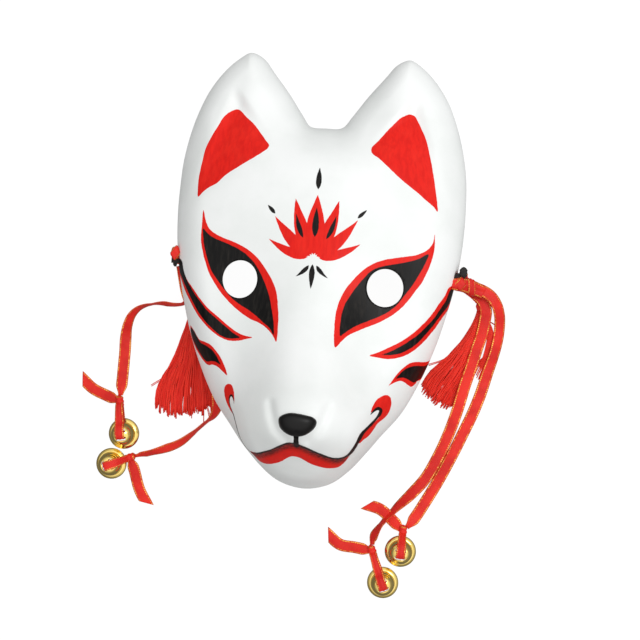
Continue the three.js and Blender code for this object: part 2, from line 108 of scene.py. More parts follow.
def catmullRom(points, closed, perSpan):
    points = np.array(points, float)
    count = len(points)
    spans = count if closed else count - 1
    line = []
    for i in range(spans):
        if closed:
            p0, p1, p2, p3 = (points[(i + d) % count] for d in (-1, 0, 1, 2))
        else:
            p1, p2 = points[i], points[i + 1]
            p0 = points[i - 1] if i else 2 * p1 - p2
            p3 = points[i + 2] if i + 2 < count else 2 * p2 - p1
        d0, d1, d2 = (max(np.sum((b - a) ** 2) ** 0.25, 1e-4) for a, b in ((p0, p1), (p1, p2), (p2, p3)))
        m1 = ((p1 - p0) / d0 - (p2 - p0) / (d0 + d1) + (p2 - p1) / d1) * d1
        m2 = ((p2 - p1) / d1 - (p3 - p1) / (d1 + d2) + (p3 - p2) / d2) * d1
        for t in np.arange(perSpan) / perSpan:
            square, cube = -3 * p1 + 3 * p2 - 2 * m1 - m2, 2 * p1 - 2 * p2 + m1 + m2
            line.append(p1 + m1 * t + square * t**2 + cube * t**3)
    if not closed:
        line.append(points[-1])
    return np.array(line)


def lineLengths(line):
    steps = np.linalg.norm(np.diff(line, axis=0), axis=1)
    return np.concatenate([[0], np.cumsum(steps)])


def evenPoints(points, count):
    line = catmullRom(points, False, 24)
    along = lineLengths(line)
    wanted = np.linspace(0, along[-1], count + 1)
    return np.stack([np.interp(wanted, along, line[:, axis]) for axis in range(3)], axis=1)


def lineFrames(line, up=(0, 0, 1.0), side=None):
    # At each point of a line, the direction along it, the one across and the one that rises from both
    frames = []
    for i in range(len(line)):
        tangent = line[min(i + 1, len(line) - 1)] - line[max(i - 1, 0)]
        tangent /= np.linalg.norm(tangent)
        across = np.cross(tangent, up) if side is None else np.array(side, float)
        across /= np.linalg.norm(across)
        frames.append((tangent, across, np.cross(across, tangent)))
    return frames


def segmentDistance(x, y, a, b):
    dx, dy = b[0] - a[0], b[1] - a[1]
    t = clamp01(((x - a[0]) * dx + (y - a[1]) * dy) / max(dx * dx + dy * dy, 1e-12))
    return np.hypot(x - a[0] - t * dx, y - a[1] - t * dy)


def linkPiece(name, mesh, material):
    mesh.shade_smooth()
    mesh.materials.append(material)
    piece = bpy.data.objects.new(name, mesh)
    bpy.context.scene.collection.objects.link(piece)
    return piece


def newPiece(name, points, faces, material, uvs=None):
    mesh = bpy.data.meshes.new(name)
    mesh.from_pydata((np.asarray(points).reshape(-1, 3) * metres).tolist(), [], faces)
    if uvs is not None:
        layer = mesh.uv_layers.new(name="UVMap")
        loops = np.zeros(len(mesh.loops), int)
        mesh.loops.foreach_get("vertex_index", loops)
        layer.data.foreach_set("uv", np.asarray(uvs, float).reshape(-1, 2)[loops].ravel())
    return linkPiece(name, mesh, material)


def pieceFrom(name, bm, material, place=Matrix()):
    # What mesh operators made in millimetres about the origin, moved to its place
    bmesh.ops.transform(bm, matrix=Matrix.Scale(metres, 4) @ place, verts=bm.verts)
    mesh = bpy.data.meshes.new(name)
    bm.to_mesh(mesh)
    bm.free()
    return linkPiece(name, mesh, material)


def ringFaces(ringCount, sides, offset=0, closeEnds=True):
    faces = []
    for ring in range(ringCount - 1):
        low, high = offset + ring * sides, offset + (ring + 1) * sides
        faces += [(low + k, low + (k + 1) % sides, high + (k + 1) % sides, high + k) for k in range(sides)]
    if closeEnds:
        faces.append(tuple(offset + k for k in reversed(range(sides))))
        faces.append(tuple(offset + (ringCount - 1) * sides + k for k in range(sides)))
    return faces


def placePiece(piece, slotName, *nodes):
    if nodes:
        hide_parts(*nodes)
    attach(piece, body)
    return piece


def applyModifiers(piece):
    graph = bpy.context.evaluated_depsgraph_get()
    mesh = bpy.data.meshes.new_from_object(piece.evaluated_get(graph))
    piece.modifiers.clear()
    old = piece.data
    piece.data = mesh
    bpy.data.meshes.remove(old)


# Camera: looking down on the face, turned and tilted a few degrees

camera = {"place": (0.04676, -0.02819, 0.67840), "lens": 63.75, "turn": 3.67, "roll": 3.63}


def makeCamera():
    turn, roll = math.radians(camera["turn"]), math.radians(camera["roll"])
    yaw = Matrix(((math.cos(turn), 0, -math.sin(turn)), (0, 1, 0), (math.sin(turn), 0, math.cos(turn))))
    spin = Matrix(((math.cos(roll), math.sin(roll), 0), (-math.sin(roll), math.cos(roll), 0), (0, 0, 1)))
    data = bpy.data.cameras.new("camera")
    data.lens, data.sensor_width, data.clip_start = camera["lens"], 36, 0.01
    piece = bpy.data.objects.new("camera", data)
    piece.matrix_world = Matrix.Translation(camera["place"]) @ (spin @ yaw).transposed().to_4x4()
    bpy.context.scene.collection.objects.link(piece)
    bpy.context.scene.camera = piece


makeCamera()

# Materials of what is tied on

satin = {
    # lit is the red in full light, deep the same red in painted shade
    "lit": "#f02b1b", "deep": "#cd150c", "gold": "#f4c25c", "goldDeep": "#b8641f", "sheen": "#ff8a70",
    "width": 7.0, "stitchPitch": 1.3, "glint": 2.38, "fold": 16.7,
    "threadPitch": 0.28,  # real satin has threads half as wide, too fine to show
    "goldFrom": 0.036, "goldTo": 0.128,  # gold thread as shares of the width, from the edge
}


def makeSatin():
    # Red polyester satin, woven, with a gold lurex thread along both edges: soft gloss and a glinting line
    material, tree, shader = newMaterial("redSatinRibbon")
    uv = addNode(tree, "ShaderNodeTexCoord", output="UV")
    coords = addNode(tree, "ShaderNodeTexCoord", output="Object")
    across = addNode(tree, "ShaderNodeSeparateXYZ", {0: uv}, "X")
    along = addNode(tree, "ShaderNodeSeparateXYZ", {0: uv}, "Y")
    fromMiddle = addNode(tree, "ShaderNodeMath", {0: across, 1: 0.5}, operation="SUBTRACT")
    fromMiddle = addNode(tree, "ShaderNodeMath", {0: fromMiddle}, operation="ABSOLUTE")
    fromEdge = addNode(tree, "ShaderNodeMath", {0: 0.5, 1: fromMiddle}, operation="SUBTRACT")

    # gold thread, worked in and out of the weave
    edgeBand = {0: fromEdge, 1: satin["goldTo"] + 0.007, 2: satin["goldTo"] - 0.008}
    edgeBand = addNode(tree, "ShaderNodeMapRange", edgeBand, **smooth)
    edgeStart = {0: fromEdge, 1: satin["goldFrom"] - 0.006, 2: satin["goldFrom"] + 0.006}
    edgeStart = addNode(tree, "ShaderNodeMapRange", edgeStart, **smooth)
    perStitch = fullTurn / satin["stitchPitch"]
    stitches = addNode(tree, "ShaderNodeMath", {0: along, 1: perStitch}, operation="MULTIPLY")
    stitches = addNode(tree, "ShaderNodeMath", {0: stitches}, operation="SINE")
    stitches = addNode(tree, "ShaderNodeMapRange", {0: stitches, 1: -0.8, 2: -0.3}, **smooth)
    glints = {"Vector": coords, "Scale": perMetre(satin["glint"]), "Detail": 2.0, "Roughness": 0.55}
    glints = addNode(tree, "ShaderNodeTexNoise", glints)
    glints = addNode(tree, "ShaderNodeMapRange", {0: glints, 1: 0.36, 2: 0.62}, **smooth)
    shine = addNode(tree, "ShaderNodeMapRange", {0: glints, 3: 0.7, 4: 1.0}, **smooth)
    gold = addNode(tree, "ShaderNodeMath", {0: edgeBand, 1: edgeStart}, operation="MULTIPLY")
    gold = addNode(tree, "ShaderNodeMath", {0: gold, 1: stitches}, operation="MULTIPLY")
    gold = addNode(tree, "ShaderNodeMath", {0: gold, 1: shine}, operation="MULTIPLY")

    # red weave, with painted shade: the deep red laid into the folds and between the threads
    # painted shade of folds: a noise that mixes the deep and the lit red
    foldShade = {"Vector": coords, "Scale": perMetre(satin["fold"]), "Detail": 3.0, "Roughness": 0.55}
    foldShade = addNode(tree, "ShaderNodeTexNoise", foldShade)
    foldShade = addNode(tree, "ShaderNodeMapRange", {0: foldShade, 1: 0.3, 2: 0.7}, **smooth)
    deep, lit = linearColour(satin["deep"]), linearColour(satin["lit"])
    red = addNode(tree, "ShaderNodeMix", {0: foldShade, 6: deep, 7: lit}, 2, data_type="RGBA")
    perThread = fullTurn / satin["threadPitch"]
    weft = addNode(tree, "ShaderNodeMath", {0: along, 1: perThread}, operation="MULTIPLY")
    weft = addNode(tree, "ShaderNodeMath", {0: weft}, operation="SINE")
    warp = addNode(tree, "ShaderNodeMath", {0: across, 1: satin["width"] * perThread}, operation="MULTIPLY")
    warp = addNode(tree, "ShaderNodeMath", {0: warp}, operation="SINE")
    weave = addNode(tree, "ShaderNodeMath", {0: warp, 1: 0.6, 2: weft}, operation="MULTIPLY_ADD")
    shade = addNode(tree, "ShaderNodeMapRange", {0: weave, 1: -1.6, 2: 1.6, 4: 0.12}, **smooth)
    red = addNode(tree, "ShaderNodeMix", {0: shade, 6: red, 7: deep}, 2, data_type="RGBA")
    goldColour = {0: glints, 6: linearColour(satin["goldDeep"]), 7: linearColour(satin["gold"])}
    goldColour = addNode(tree, "ShaderNodeMix", goldColour, 2, data_type="RGBA")
    colour = addNode(tree, "ShaderNodeMix", {0: gold, 6: red, 7: goldColour}, 2, data_type="RGBA")
    metal = addNode(tree, "ShaderNodeMath", {0: gold, 1: 0.85}, operation="MULTIPLY")
    rough = addNode(tree, "ShaderNodeMapRange", {0: weave, 1: -1.6, 2: 1.6, 3: 0.36, 4: 0.46}, **smooth)
    relief = addNode(tree, "ShaderNodeMath", {0: gold, 1: 1.5, 2: weave}, operation="MULTIPLY_ADD")
    bump = addNode(tree, "ShaderNodeBump", {"Strength": 0.35, "Distance": 0.04 * metres, "Height": relief})
    tree.links.new(colour, shader.inputs["Base Color"])
    tree.links.new(metal, shader.inputs["Metallic"])
    tree.links.new(rough, shader.inputs["Roughness"])
    tree.links.new(bump, shader.inputs["Normal"])
    shader.inputs["Specular IOR Level"].default_value = 0.3
    shader.inputs["Sheen Weight"].default_value = 0.12
    shader.inputs["Sheen Roughness"].default_value = 0.4
    shader.inputs["Sheen Tint"].default_value = linearColour(satin["sheen"])
    return material


thread = {
    # groove is the red of the painted shade between the plies
    "dark": "#e41c10", "light": "#ff3c28", "groove": "#a00e09", "sheen": "#ff7a60", "lay": 1.1, "radius": 0.3,
}


def makeThread():
    # Red viscose thread, twisted from two plies that show as a fine spiral
    material, tree, shader = newMaterial("redViscoseThread")
    uv = addNode(tree, "ShaderNodeTexCoord", output="UV")
    around = addNode(tree, "ShaderNodeSeparateXYZ", {0: uv}, "X")
    along = addNode(tree, "ShaderNodeSeparateXYZ", {0: uv}, "Y")
    # strand: the thread's own tone, with painted shade on threads low in the pile, from dark to light
    shade = addNode(tree, "ShaderNodeAttribute", output="Fac", attribute_name="strand")
    red = {0: shade, 6: linearColour(thread["dark"]), 7: linearColour(thread["light"])}
    red = addNode(tree, "ShaderNodeMix", red, 2, data_type="RGBA")
    around = addNode(tree, "ShaderNodeMath", {0: around, 1: 4 * math.pi}, operation="MULTIPLY")
    twist = {0: along, 1: fullTurn / thread["lay"], 2: around}
    twist = addNode(tree, "ShaderNodeMath", twist, operation="MULTIPLY_ADD")
    ply = addNode(tree, "ShaderNodeMath", {0: twist}, operation="SINE")
    # painted shade in the groove between the plies, in the darker groove red
    groove = addNode(tree, "ShaderNodeMapRange", {0: ply, 1: -1.0, 2: 0.2, 3: 0.25, 4: 0.0}, **smooth)
    red = {0: groove, 6: red, 7: linearColour(thread["groove"])}
    red = addNode(tree, "ShaderNodeMix", red, 2, data_type="RGBA")
    bump = addNode(tree, "ShaderNodeBump", {"Strength": 0.5, "Distance": 0.06 * metres, "Height": ply})
    tree.links.new(red, shader.inputs["Base Color"])
    tree.links.new(bump, shader.inputs["Normal"])
    shader.inputs["Roughness"].default_value = 0.46
    shader.inputs["Specular IOR Level"].default_value = 0.3
    shader.inputs["Sheen Weight"].default_value = 0.15
    shader.inputs["Sheen Tint"].default_value = linearColour(thread["sheen"])
    return material


gold = {"deep": "#f3cf66", "pale": "#fbe292", "haze": 3.33, "grain": 1.11}


def makeGold():
    # Brass, pressed, polished and gold plated: mirror bright, with the light haze of handling
    material, tree, shader = newMaterial("goldPlatedBrass")
    coords = addNode(tree, "ShaderNodeTexCoord", output="Object")
    haze = {"Vector": coords, "Scale": perMetre(gold["haze"]), "Detail": 4.0, "Roughness": 0.55}
    haze = addNode(tree, "ShaderNodeTexNoise", haze)
    colour = {0: haze, 6: linearColour(gold["deep"]), 7: linearColour(gold["pale"])}
    colour = addNode(tree, "ShaderNodeMix", colour, 2, data_type="RGBA")
    rough = addNode(tree, "ShaderNodeMapRange", {0: haze, 1: 0.3, 2: 0.75, 3: 0.09, 4: 0.2}, **smooth)
    grain = {"Vector": coords, "Scale": perMetre(gold["grain"]), "Detail": 2.0, "Roughness": 0.55}
    grain = addNode(tree, "ShaderNodeTexNoise", grain)
    bump = addNode(tree, "ShaderNodeBump", {"Strength": 0.08, "Distance": 0.05 * metres, "Height": grain})
    tree.links.new(colour, shader.inputs["Base Color"])
    tree.links.new(rough, shader.inputs["Roughness"])
    tree.links.new(bump, shader.inputs["Normal"])
    shader.inputs["Metallic"].default_value = 1.0
    return material


elastic = {"dark": "#0c0b0b", "light": "#302d2a", "ribs": 6, "pick": 0.5}


def makeElastic():
    # Black polyester elastic: rubber cores under a ribbed weave, quite matt
    material, tree, shader = newMaterial("blackWovenElastic")
    uv = addNode(tree, "ShaderNodeTexCoord", output="UV")
    ribs = addNode(tree, "ShaderNodeSeparateXYZ", {0: uv}, "X")
    ribs = addNode(tree, "ShaderNodeMath", {0: ribs, 1: fullTurn * elastic["ribs"]}, operation="MULTIPLY")
    ribs = addNode(tree, "ShaderNodeMath", {0: ribs}, operation="SINE")
    picks = addNode(tree, "ShaderNodeSeparateXYZ", {0: uv}, "Y")
    picks = addNode(tree, "ShaderNodeMath", {0: picks, 1: fullTurn / elastic["pick"]}, operation="MULTIPLY")
    picks = addNode(tree, "ShaderNodeMath", {0: picks}, operation="SINE")
    weave = addNode(tree, "ShaderNodeMath", {0: ribs, 1: picks}, operation="MULTIPLY")
    # painted light on the raised ribs and painted shade between them, from the weave's height
    ribLightAndShade = addNode(tree, "ShaderNodeMapRange", {0: weave, 1: -1.0}, **smooth)
    colour = {0: ribLightAndShade, 6: linearColour(elastic["dark"]), 7: linearColour(elastic["light"])}
    colour = addNode(tree, "ShaderNodeMix", colour, 2, data_type="RGBA")
    bump = addNode(tree, "ShaderNodeBump", {"Strength": 0.6, "Distance": 0.1 * metres, "Height": weave})
    tree.links.new(colour, shader.inputs["Base Color"])
    tree.links.new(bump, shader.inputs["Normal"])
    shader.inputs["Roughness"].default_value = 0.82
    return material


satinRibbon = makeSatin()
tasselThread = makeThread()
goldPlate = makeGold()
blackElastic = makeElastic()

# Ribbons: the loose lengths from the strap holes to the knots above the bells

ribbonRoutes = {
    "left_outer": {
        "route": [
            (-83.4, -1.2, 3.2), (-81.8, -6, 2.8), (-79.4, -11.5, 2.2), (-77.6, -16.2, 1.4),
            (-77, -20.2, 0.8), (-79, -23.6, 0.5), (-84, -24.7, 0.5), (-92.9, -24.5, 0.5),
            (-97.8, -25.2, 0.5), (-102.6, -26.4, 0.5), (-106.8, -28.7, 0.5), (-110.2, -32.6, 0.5),
            (-112.4, -38.5, 0.5), (-113.4, -46.5, 0.5), (-113.8, -58.5, 0.5), (-114.2, -72, 0.8),
            (-114.3, -81.2, 2.4),
        ],
        "rolls": [
            (0, 86), (0.2, 84), (0.33, 66), (0.4, 84), (0.47, 74), (0.56, 56), (0.63, 42), (0.74, 6),
            (1, 0),
        ],
        "startReach": 18,
        "knot": (-114.3, -84.9, 3), "bell": (-111.1, -104.3),
        "tail": [(-123.4, -81.8, 1.6), (-131.6, -78.5, 0.8), (-138.7, -72.9, 0.5)], "slant": 0.9,
    },
    "left_inner": {
        "route": [
            (-83.2, -1.2, 6.2), (-81.6, -6, 6.5), (-78.8, -12.7, 6.8), (-75.2, -21.5, 6.8),
            (-71.4, -31, 6.4), (-67, -42, 5.9), (-62.5, -54, 5.4), (-58.2, -66, 4.8), (-55.4, -76, 4.1),
            (-55, -84, 3), (-57.4, -90.4, 1.6), (-62.1, -95, 0.8), (-67.7, -100.3, 0.5),
            (-76.4, -107.6, 0.5), (-85.3, -111.8, 0.5), (-94.3, -114.9, 0.8), (-102.8, -117.2, 2.4),
        ],
        "rolls": [
            (0, 0), (0.52, 0), (0.6, 40), (0.66, 78), (0.72, 76), (0.8, 52), (0.86, 40), (0.93, 58),
            (1, 55),
        ],
        "startReach": 18,
        "knot": (-106.2, -118.3, 3), "bell": (-117.6, -122.9),
        "tail": [(-103.4, -125.5, 1.4), (-99.6, -137.3, 0.5), (-94.8, -145.4, 0.5)], "slant": -0.9,
    },
    "right_inner": {
        "route": [
            (92.6, -8.6, 7.5), (96, -9.9, 7.5), (99.4, -12.5, 7.5), (101, -16.8, 7.2), (100.8, -22, 6.4),
            (99.4, -31.6, 5.4), (97.4, -38.9, 5), (94.8, -49.7, 4.6), (91.5, -62, 4.2), (88.5, -75.1, 3.8),
            (84.4, -89.6, 2.4), (79, -104, 1.8), (71.8, -118.6, 1.5), (64.2, -128, 0.9), (55.4, -137, 0.5),
            (47.4, -146.9, 0.5), (43.2, -155.2, 1), (42.8, -159.8, 2.4),
        ],
        "rolls": [(0, 0), (0.7, 0), (0.78, -30), (0.86, -66), (0.92, -74), (0.97, -45), (1, -30)],
        "startReach": 10,
        "knot": (43.3, -163.5, 3), "bell": (50.6, -182.1),
        "tail": [(32.8, -162.4, 1), (23.8, -161.5, 0.5), (16.3, -156.1, 0.5)], "slant": 0.9,
    },
    "right_outer": {
        "route": [
            (94, -3.8, 11.2), (98, -5, 11.2), (103, -7.8, 10.4), (106.9, -12.6, 8.6), (109.2, -18.6, 5.6),
            (110, -24.5, 2.6), (109.8, -31.5, 0.8), (108.2, -41, 0.5), (104.9, -53, 0.5),
            (101.4, -66.2, 0.5), (97.6, -77.6, 0.5), (92.9, -89.3, 0.5), (86.8, -103.8, 0.5),
            (80, -118.6, 0.5), (72.3, -133.4, 0.5), (66.4, -143.6, 1), (62.8, -148, 2.4),
        ],
        "rolls": [(0, 10), (0.1, 20), (0.3, 25), (0.45, 0), (1, 0)],
        "startReach": 0,
        "knot": (60.6, -150.4, 3), "bell": (59.9, -162.7),
        "tail": [(54.2, -144.6, 2.2), (46.6, -138.6, 1.9), (38.4, -136.5, 0.6)], "slant": -0.9,
    },
}
ribbon = {"width": 7.0, "thickness": 0.3, "gathered": 0.42, "reach": 6.5, "columns": 10, "step": 1.2}


def liftedLine(line, widths, rolls):
    # Rolled on its edge, a strip stands on the surface instead of sinking into it
    along = lineLengths(line)
    turns = np.radians(np.interp(along / along[-1], *np.array(rolls, float).T))
    lifts = np.maximum(0.0, np.abs(np.sin(turns)) * widths / 2 + 0.1 - line[:, 2])
    return line + np.column_stack([np.zeros(len(line)), np.zeros(len(line)), lifts])


def ribbonStrip(line, widths, rolls, name, material, slant=0.0, side=None):
    # A strip with the width level unless rolled, pleated where it is narrower than it was woven
    along = lineLengths(line)
    shares = along / along[-1]
    rollAt = np.interp(shares, *np.array(rolls, float).T)
    columns = ribbon["columns"]
    rings, uvs = [], []
    for i, (tangent, across, rise) in enumerate(lineFrames(line, side=side)):
        turn = math.radians(rollAt[i])
        across = across * math.cos(turn) + rise * math.sin(turn)
        rise = np.cross(across, tangent)
        width = widths[i]
        pleat = 0.5 * (1 - width / ribbon["width"])
        top, bottom, topUv, bottomUv = [], [], [], []
        for column in range(columns + 1):
            share = column / columns
            wave = pleat * math.sin(share * 5 * math.pi) - 0.22 * (2 * share - 1) ** 2
            cut = slant * (share - 0.5) * ribbon["width"] * easeStep(along[-1] - 7, along[-1], along[i])
            place = line[i] + across * (share - 0.5) * width + rise * wave + tangent * cut
            top.append(place + rise * ribbon["thickness"] / 2)
            bottom.append(place - rise * ribbon["thickness"] / 2)
            topUv.append((share, along[i] + cut))
            bottomUv.append((share, along[i] + cut))
        rings.append(top + bottom[::-1])
        uvs.append(topUv + bottomUv[::-1])
    return newPiece(name, rings, ringFaces(len(rings), 2 * (columns + 1)), material, uvs)


def gatherWidths(line, startReach, endReach):
    along = lineLengths(line)
    openness = np.ones(len(line))
    if startReach:
        openness = np.minimum(openness, along / startReach)
    if endReach:
        openness = np.minimum(openness, (along[-1] - along) / endReach)
    return ribbon["width"] * (ribbon["gathered"] + (1 - ribbon["gathered"]) * easeStep(0, 1, openness))


def joinPieces(pieces, name):
    bm = bmesh.new()
    for piece in pieces:
        bm.from_mesh(piece.data)
    mesh = bpy.data.meshes.new(name)
    bm.to_mesh(mesh)
    bm.free()
    material = pieces[0].data.materials[0]
    for piece in pieces:
        bpy.data.objects.remove(piece)
    return linkPiece(name, mesh, material)


# Bells

bell = {
    "diameter": 18.4, "height": 11.0, "wall": 0.7, "slot": 2.2, "slotReach": 2.9, "bridge": 2.4, "sides": 72,
    "cutBelow": 4, "cutAbove": 2, "slotCorner": 0.35,
}
bellProfile = [
    (0.99, 0), (1.012, 0.03), (1.012, 0.07), (0.985, 0.1), (0.93, 0.135), (0.87, 0.17), (0.815, 0.2),
    (0.785, 0.2), (0.765, 0.225), (0.758, 0.3), (0.75, 0.42), (0.725, 0.56), (0.675, 0.7), (0.59, 0.815),
    (0.47, 0.905), (0.3, 0.97), (0.13, 0.996), (0, 1),
]


def makeBell(name, place, towards):
    radius, height, wall = bell["diameter"] / 2, bell["height"], bell["wall"]
    outside = [(r * radius, z * height) for r, z in bellProfile]
    inside = []
    for r, z in outside:
        innerWall = wall if r > 0.3 * radius else 0.35 * wall
        if r > innerWall or not r:
            inside.append((max(r - innerWall, 0), max(z - wall * easeStep(0.5, 3, z), 0)))
    spot = Matrix.Translation((*place, 0)) @ Matrix.Rotation(
        math.atan2(towards[1] - place[1], towards[0] - place[0]), 4, "Z")

    bm = bmesh.new()
    section = [bm.verts.new((r, 0, z)) for r, z in outside[::-1] + inside]
    section += [bm.edges.new(pair) for pair in zip(section, section[1:])]
    bmesh.ops.spin(bm, geom=section, axis=(0, 0, 1), angle=fullTurn, steps=bell["sides"], use_merge=True)
    bmesh.ops.remove_doubles(bm, verts=bm.verts, dist=0.001)
    bmesh.ops.recalc_face_normals(bm, faces=bm.faces)
    piece = pieceFrom(name, bm, goldPlate, spot)

    bm = bmesh.new()
    for mirror in (-1, 1):
        middle = mirror * (bell["bridge"] + bell["slot"]) / 2
        corners = roundedBox(bell["slotCorner"])
        slot = [(middle + bell["slot"] / 2 * c, bell["slotReach"] * s) for c, s in corners]
        base = bm.faces.new([bm.verts.new((x, y, height - bell["cutBelow"])) for x, y in slot])
        top = bmesh.ops.extrude_face_region(bm, geom=[base])["geom"]
        top = [part for part in top if isinstance(part, bmesh.types.BMVert)]
        bmesh.ops.translate(bm, vec=(0, 0, bell["cutBelow"] + bell["cutAbove"]), verts=top)
    bmesh.ops.remove_doubles(bm, verts=bm.verts, dist=0.0001)
    bmesh.ops.recalc_face_normals(bm, faces=bm.faces)
    cutPiece(piece, pieceFrom("bellSlots", bm, goldPlate, spot))
    return piece


def roundedBox(corner, steps=5):
    # Outline of a box of half size 1 whose corners are rounded, a little less along its length
    flat = 0.6 * corner
    ring = []
    for quarter in range(4):
        for step in range(steps):
            angle = math.pi / 2 * (quarter + step / (steps - 1))
            cx = (1 - corner) * (1 if quarter in (0, 3) else -1)
            cy = (1 - flat) * (1 if quarter in (0, 1) else -1)
            ring.append((cx + corner * math.cos(angle), cy + flat * math.sin(angle)))
    return ring


def cutPiece(piece, cutter):
    modifier = piece.modifiers.new("cut", "BOOLEAN")
    modifier.operation, modifier.object, modifier.solver = "DIFFERENCE", cutter, "EXACT"
    applyModifiers(piece)
    bpy.data.objects.remove(cutter)
    piece.data.shade_smooth()


# Knot, strip through the crown of the bell, and cut tail

knot = {
    "radius": 2.3, "length": 3.6, "ridges": 3, "strip": 4.4, "crownStrip": 5.5, "rings": 31, "sides": 24,
    "slip": 0.35, "slipTurn": 0.6, "flat": (1.1, 0.95),
    "overGap": 0.25, "underGap": 1.65,  # from the top of the bell to the strip's middle, outside and inside
}


def makeKnot(name, place, towards):
    # A bound knot: a barrel of three rounded turns, lying along the ribbon
    axis = np.array((towards[0] - place[0], towards[1] - place[1], 0.0))
    axis /= np.linalg.norm(axis)
    side = np.array((-axis[1], axis[0], 0.0))
    up = np.array((0, 0, 1.0))
    rings, uvs = [], []
    for t in np.linspace(-1, 1, knot["rings"]):
        turnBulge = 0.82 + 0.18 * abs(math.cos(t * math.pi * knot["ridges"] / 2))
        radius = knot["radius"] * turnBulge * math.sqrt(max(0.04, 1 - 0.8 * t**4))
        ring, uvRing = [], []
        for k in range(knot["sides"]):
            angle = fullTurn * k / knot["sides"]
            slip = knot["slip"] * math.sin(angle + knot["slipTurn"])
            wide, high = knot["flat"][0] * math.cos(angle), knot["flat"][1] * math.sin(angle)
            along = np.array(place) + axis * (t * knot["length"] + slip)
            ring.append(along + side * radius * wide + up * radius * high)
            uvRing.append((0.5 + 0.5 * t, angle * radius))
        rings.append(ring)
        uvs.append(uvRing)
    return newPiece(name, rings, ringFaces(len(rings), knot["sides"]), satinRibbon, uvs)


def bellLoop(knotDistance):
    # Strip from the knot over the bell, through both slots and back: distance from the bell's axis, height
    radius, over = bell["diameter"] / 2, bell["height"] + knot["overGap"]
    slotAt = (bell["bridge"] + bell["slot"]) / 2
    under = bell["height"] - knot["underGap"]
    return [
        (knotDistance, 3.8), (knotDistance - 2.2, 6.6), (0.8 * radius, over - 1.5),
        (0.52 * radius, over + 0.7), (1.5, over + 1.7), (-1, over + 1.5), (-slotAt - 0.15, over + 0.2),
        (-slotAt, over - 0.9), (-slotAt + 0.5, under - 0.1), (0, under - 0.3), (slotAt - 0.5, under - 0.1),
        (slotAt, over - 0.9), (slotAt + 0.5, over + 0.25), (0.48 * radius, over + 0.05),
        (0.66 * radius, over - 1.9), (0.83 * radius, 6.4), (1.08 * radius, 4.3), (knotDistance, 2.4),
    ]


def makeRibbonEnd(name, strand):
    knotAt, bellAt = np.array(strand["knot"], float), np.array(strand["bell"], float)
    towards = knotAt[:2] - bellAt
    distance = np.linalg.norm(towards)
    towards /= distance
    loop = [(bellAt[0] + towards[0] * r, bellAt[1] + towards[1] * r, z) for r, z in bellLoop(distance)]
    loopLine = evenPoints(loop, 70)
    side = (-towards[1], towards[0], 0)
    fromKnot = np.abs(np.linspace(-1, 1, len(loopLine)))
    loopWidths = knot["crownStrip"] + (knot["strip"] - knot["crownStrip"]) * easeStep(0.45, 0.9, fromKnot)
    strip = ribbonStrip(loopLine, loopWidths, [(0, 0), (1, 0)], "loop", satinRibbon, side=side)
    tailLine = evenPoints([strand["knot"], *strand["tail"]], 26)
    tailWidths = gatherWidths(tailLine, ribbon["reach"], 0)
    tail = ribbonStrip(tailLine, tailWidths, [(0, 0), (1, 0)], "tail", satinRibbon, strand["slant"])
    lump = makeKnot("knot", strand["knot"], strand["bell"])
    return joinPieces([lump, strip, tail], name)


ribbonPieces = {}
for strandName, strand in ribbonRoutes.items():
    parts = strandName.split("_")
    label = parts[0].capitalize() + parts[1].capitalize()
    bellPiece = makeBell("bell" + label, strand["bell"], strand["knot"])
    endPiece = makeRibbonEnd("ribbonEnd" + label, strand)
    placePiece(bellPiece, "bell", "bell_" + strandName)
    placePiece(endPiece, "ribbon", "ribbon_end_" + strandName)
    routeLength = lineLengths(catmullRom(strand["route"], False, 24))[-1]
    line = evenPoints(strand["route"], int(routeLength / ribbon["step"]))
    widths = gatherWidths(line, strand["startReach"], ribbon["reach"])
    line = liftedLine(line, widths, strand["rolls"])
    leg = ribbonStrip(line, widths, strand["rolls"], "ribbon" + label, satinRibbon)
    placePiece(leg, "ribbon", "ribbon_" + strandName)
    onIt = [endPiece, bellPiece]
    ribbonPieces[strandName] = {"leg": leg, "line": line, "length": routeLength, "onIt": onIt}
    print(label, "ribbon", round(routeLength, 1), "mm")
print("ribbons and bells made")

# Head band of flat elastic

strapHole = {"x": 82.368, "y": 2.072, "z": 13.94, "radius": 3.5, "aboveRim": 6}
band = {
    "width": 4.0, "thickness": 1.0, "knotRadius": 2.4, "knotLength": 3.1,
    "knots": [((-83.9, -0.2, 13.6), 0.5), ((85.9, 4.4, 15.8), 1.0)],
    "route": [
        (0, 72, 0.6), (14, 71.4, 0.6), (30, 66, 0.6), (44, 56, 0.6), (55, 43, 0.7), (62, 30, 2.4),
        (67.5, 18, 7), (71.5, 9.5, 11.6), (75.97, 2.87, 14.84), (79.57, 2.07, 15.44), (82.37, 2.07, 15.44),
        (85.77, 2.07, 15.44),
    ],
}


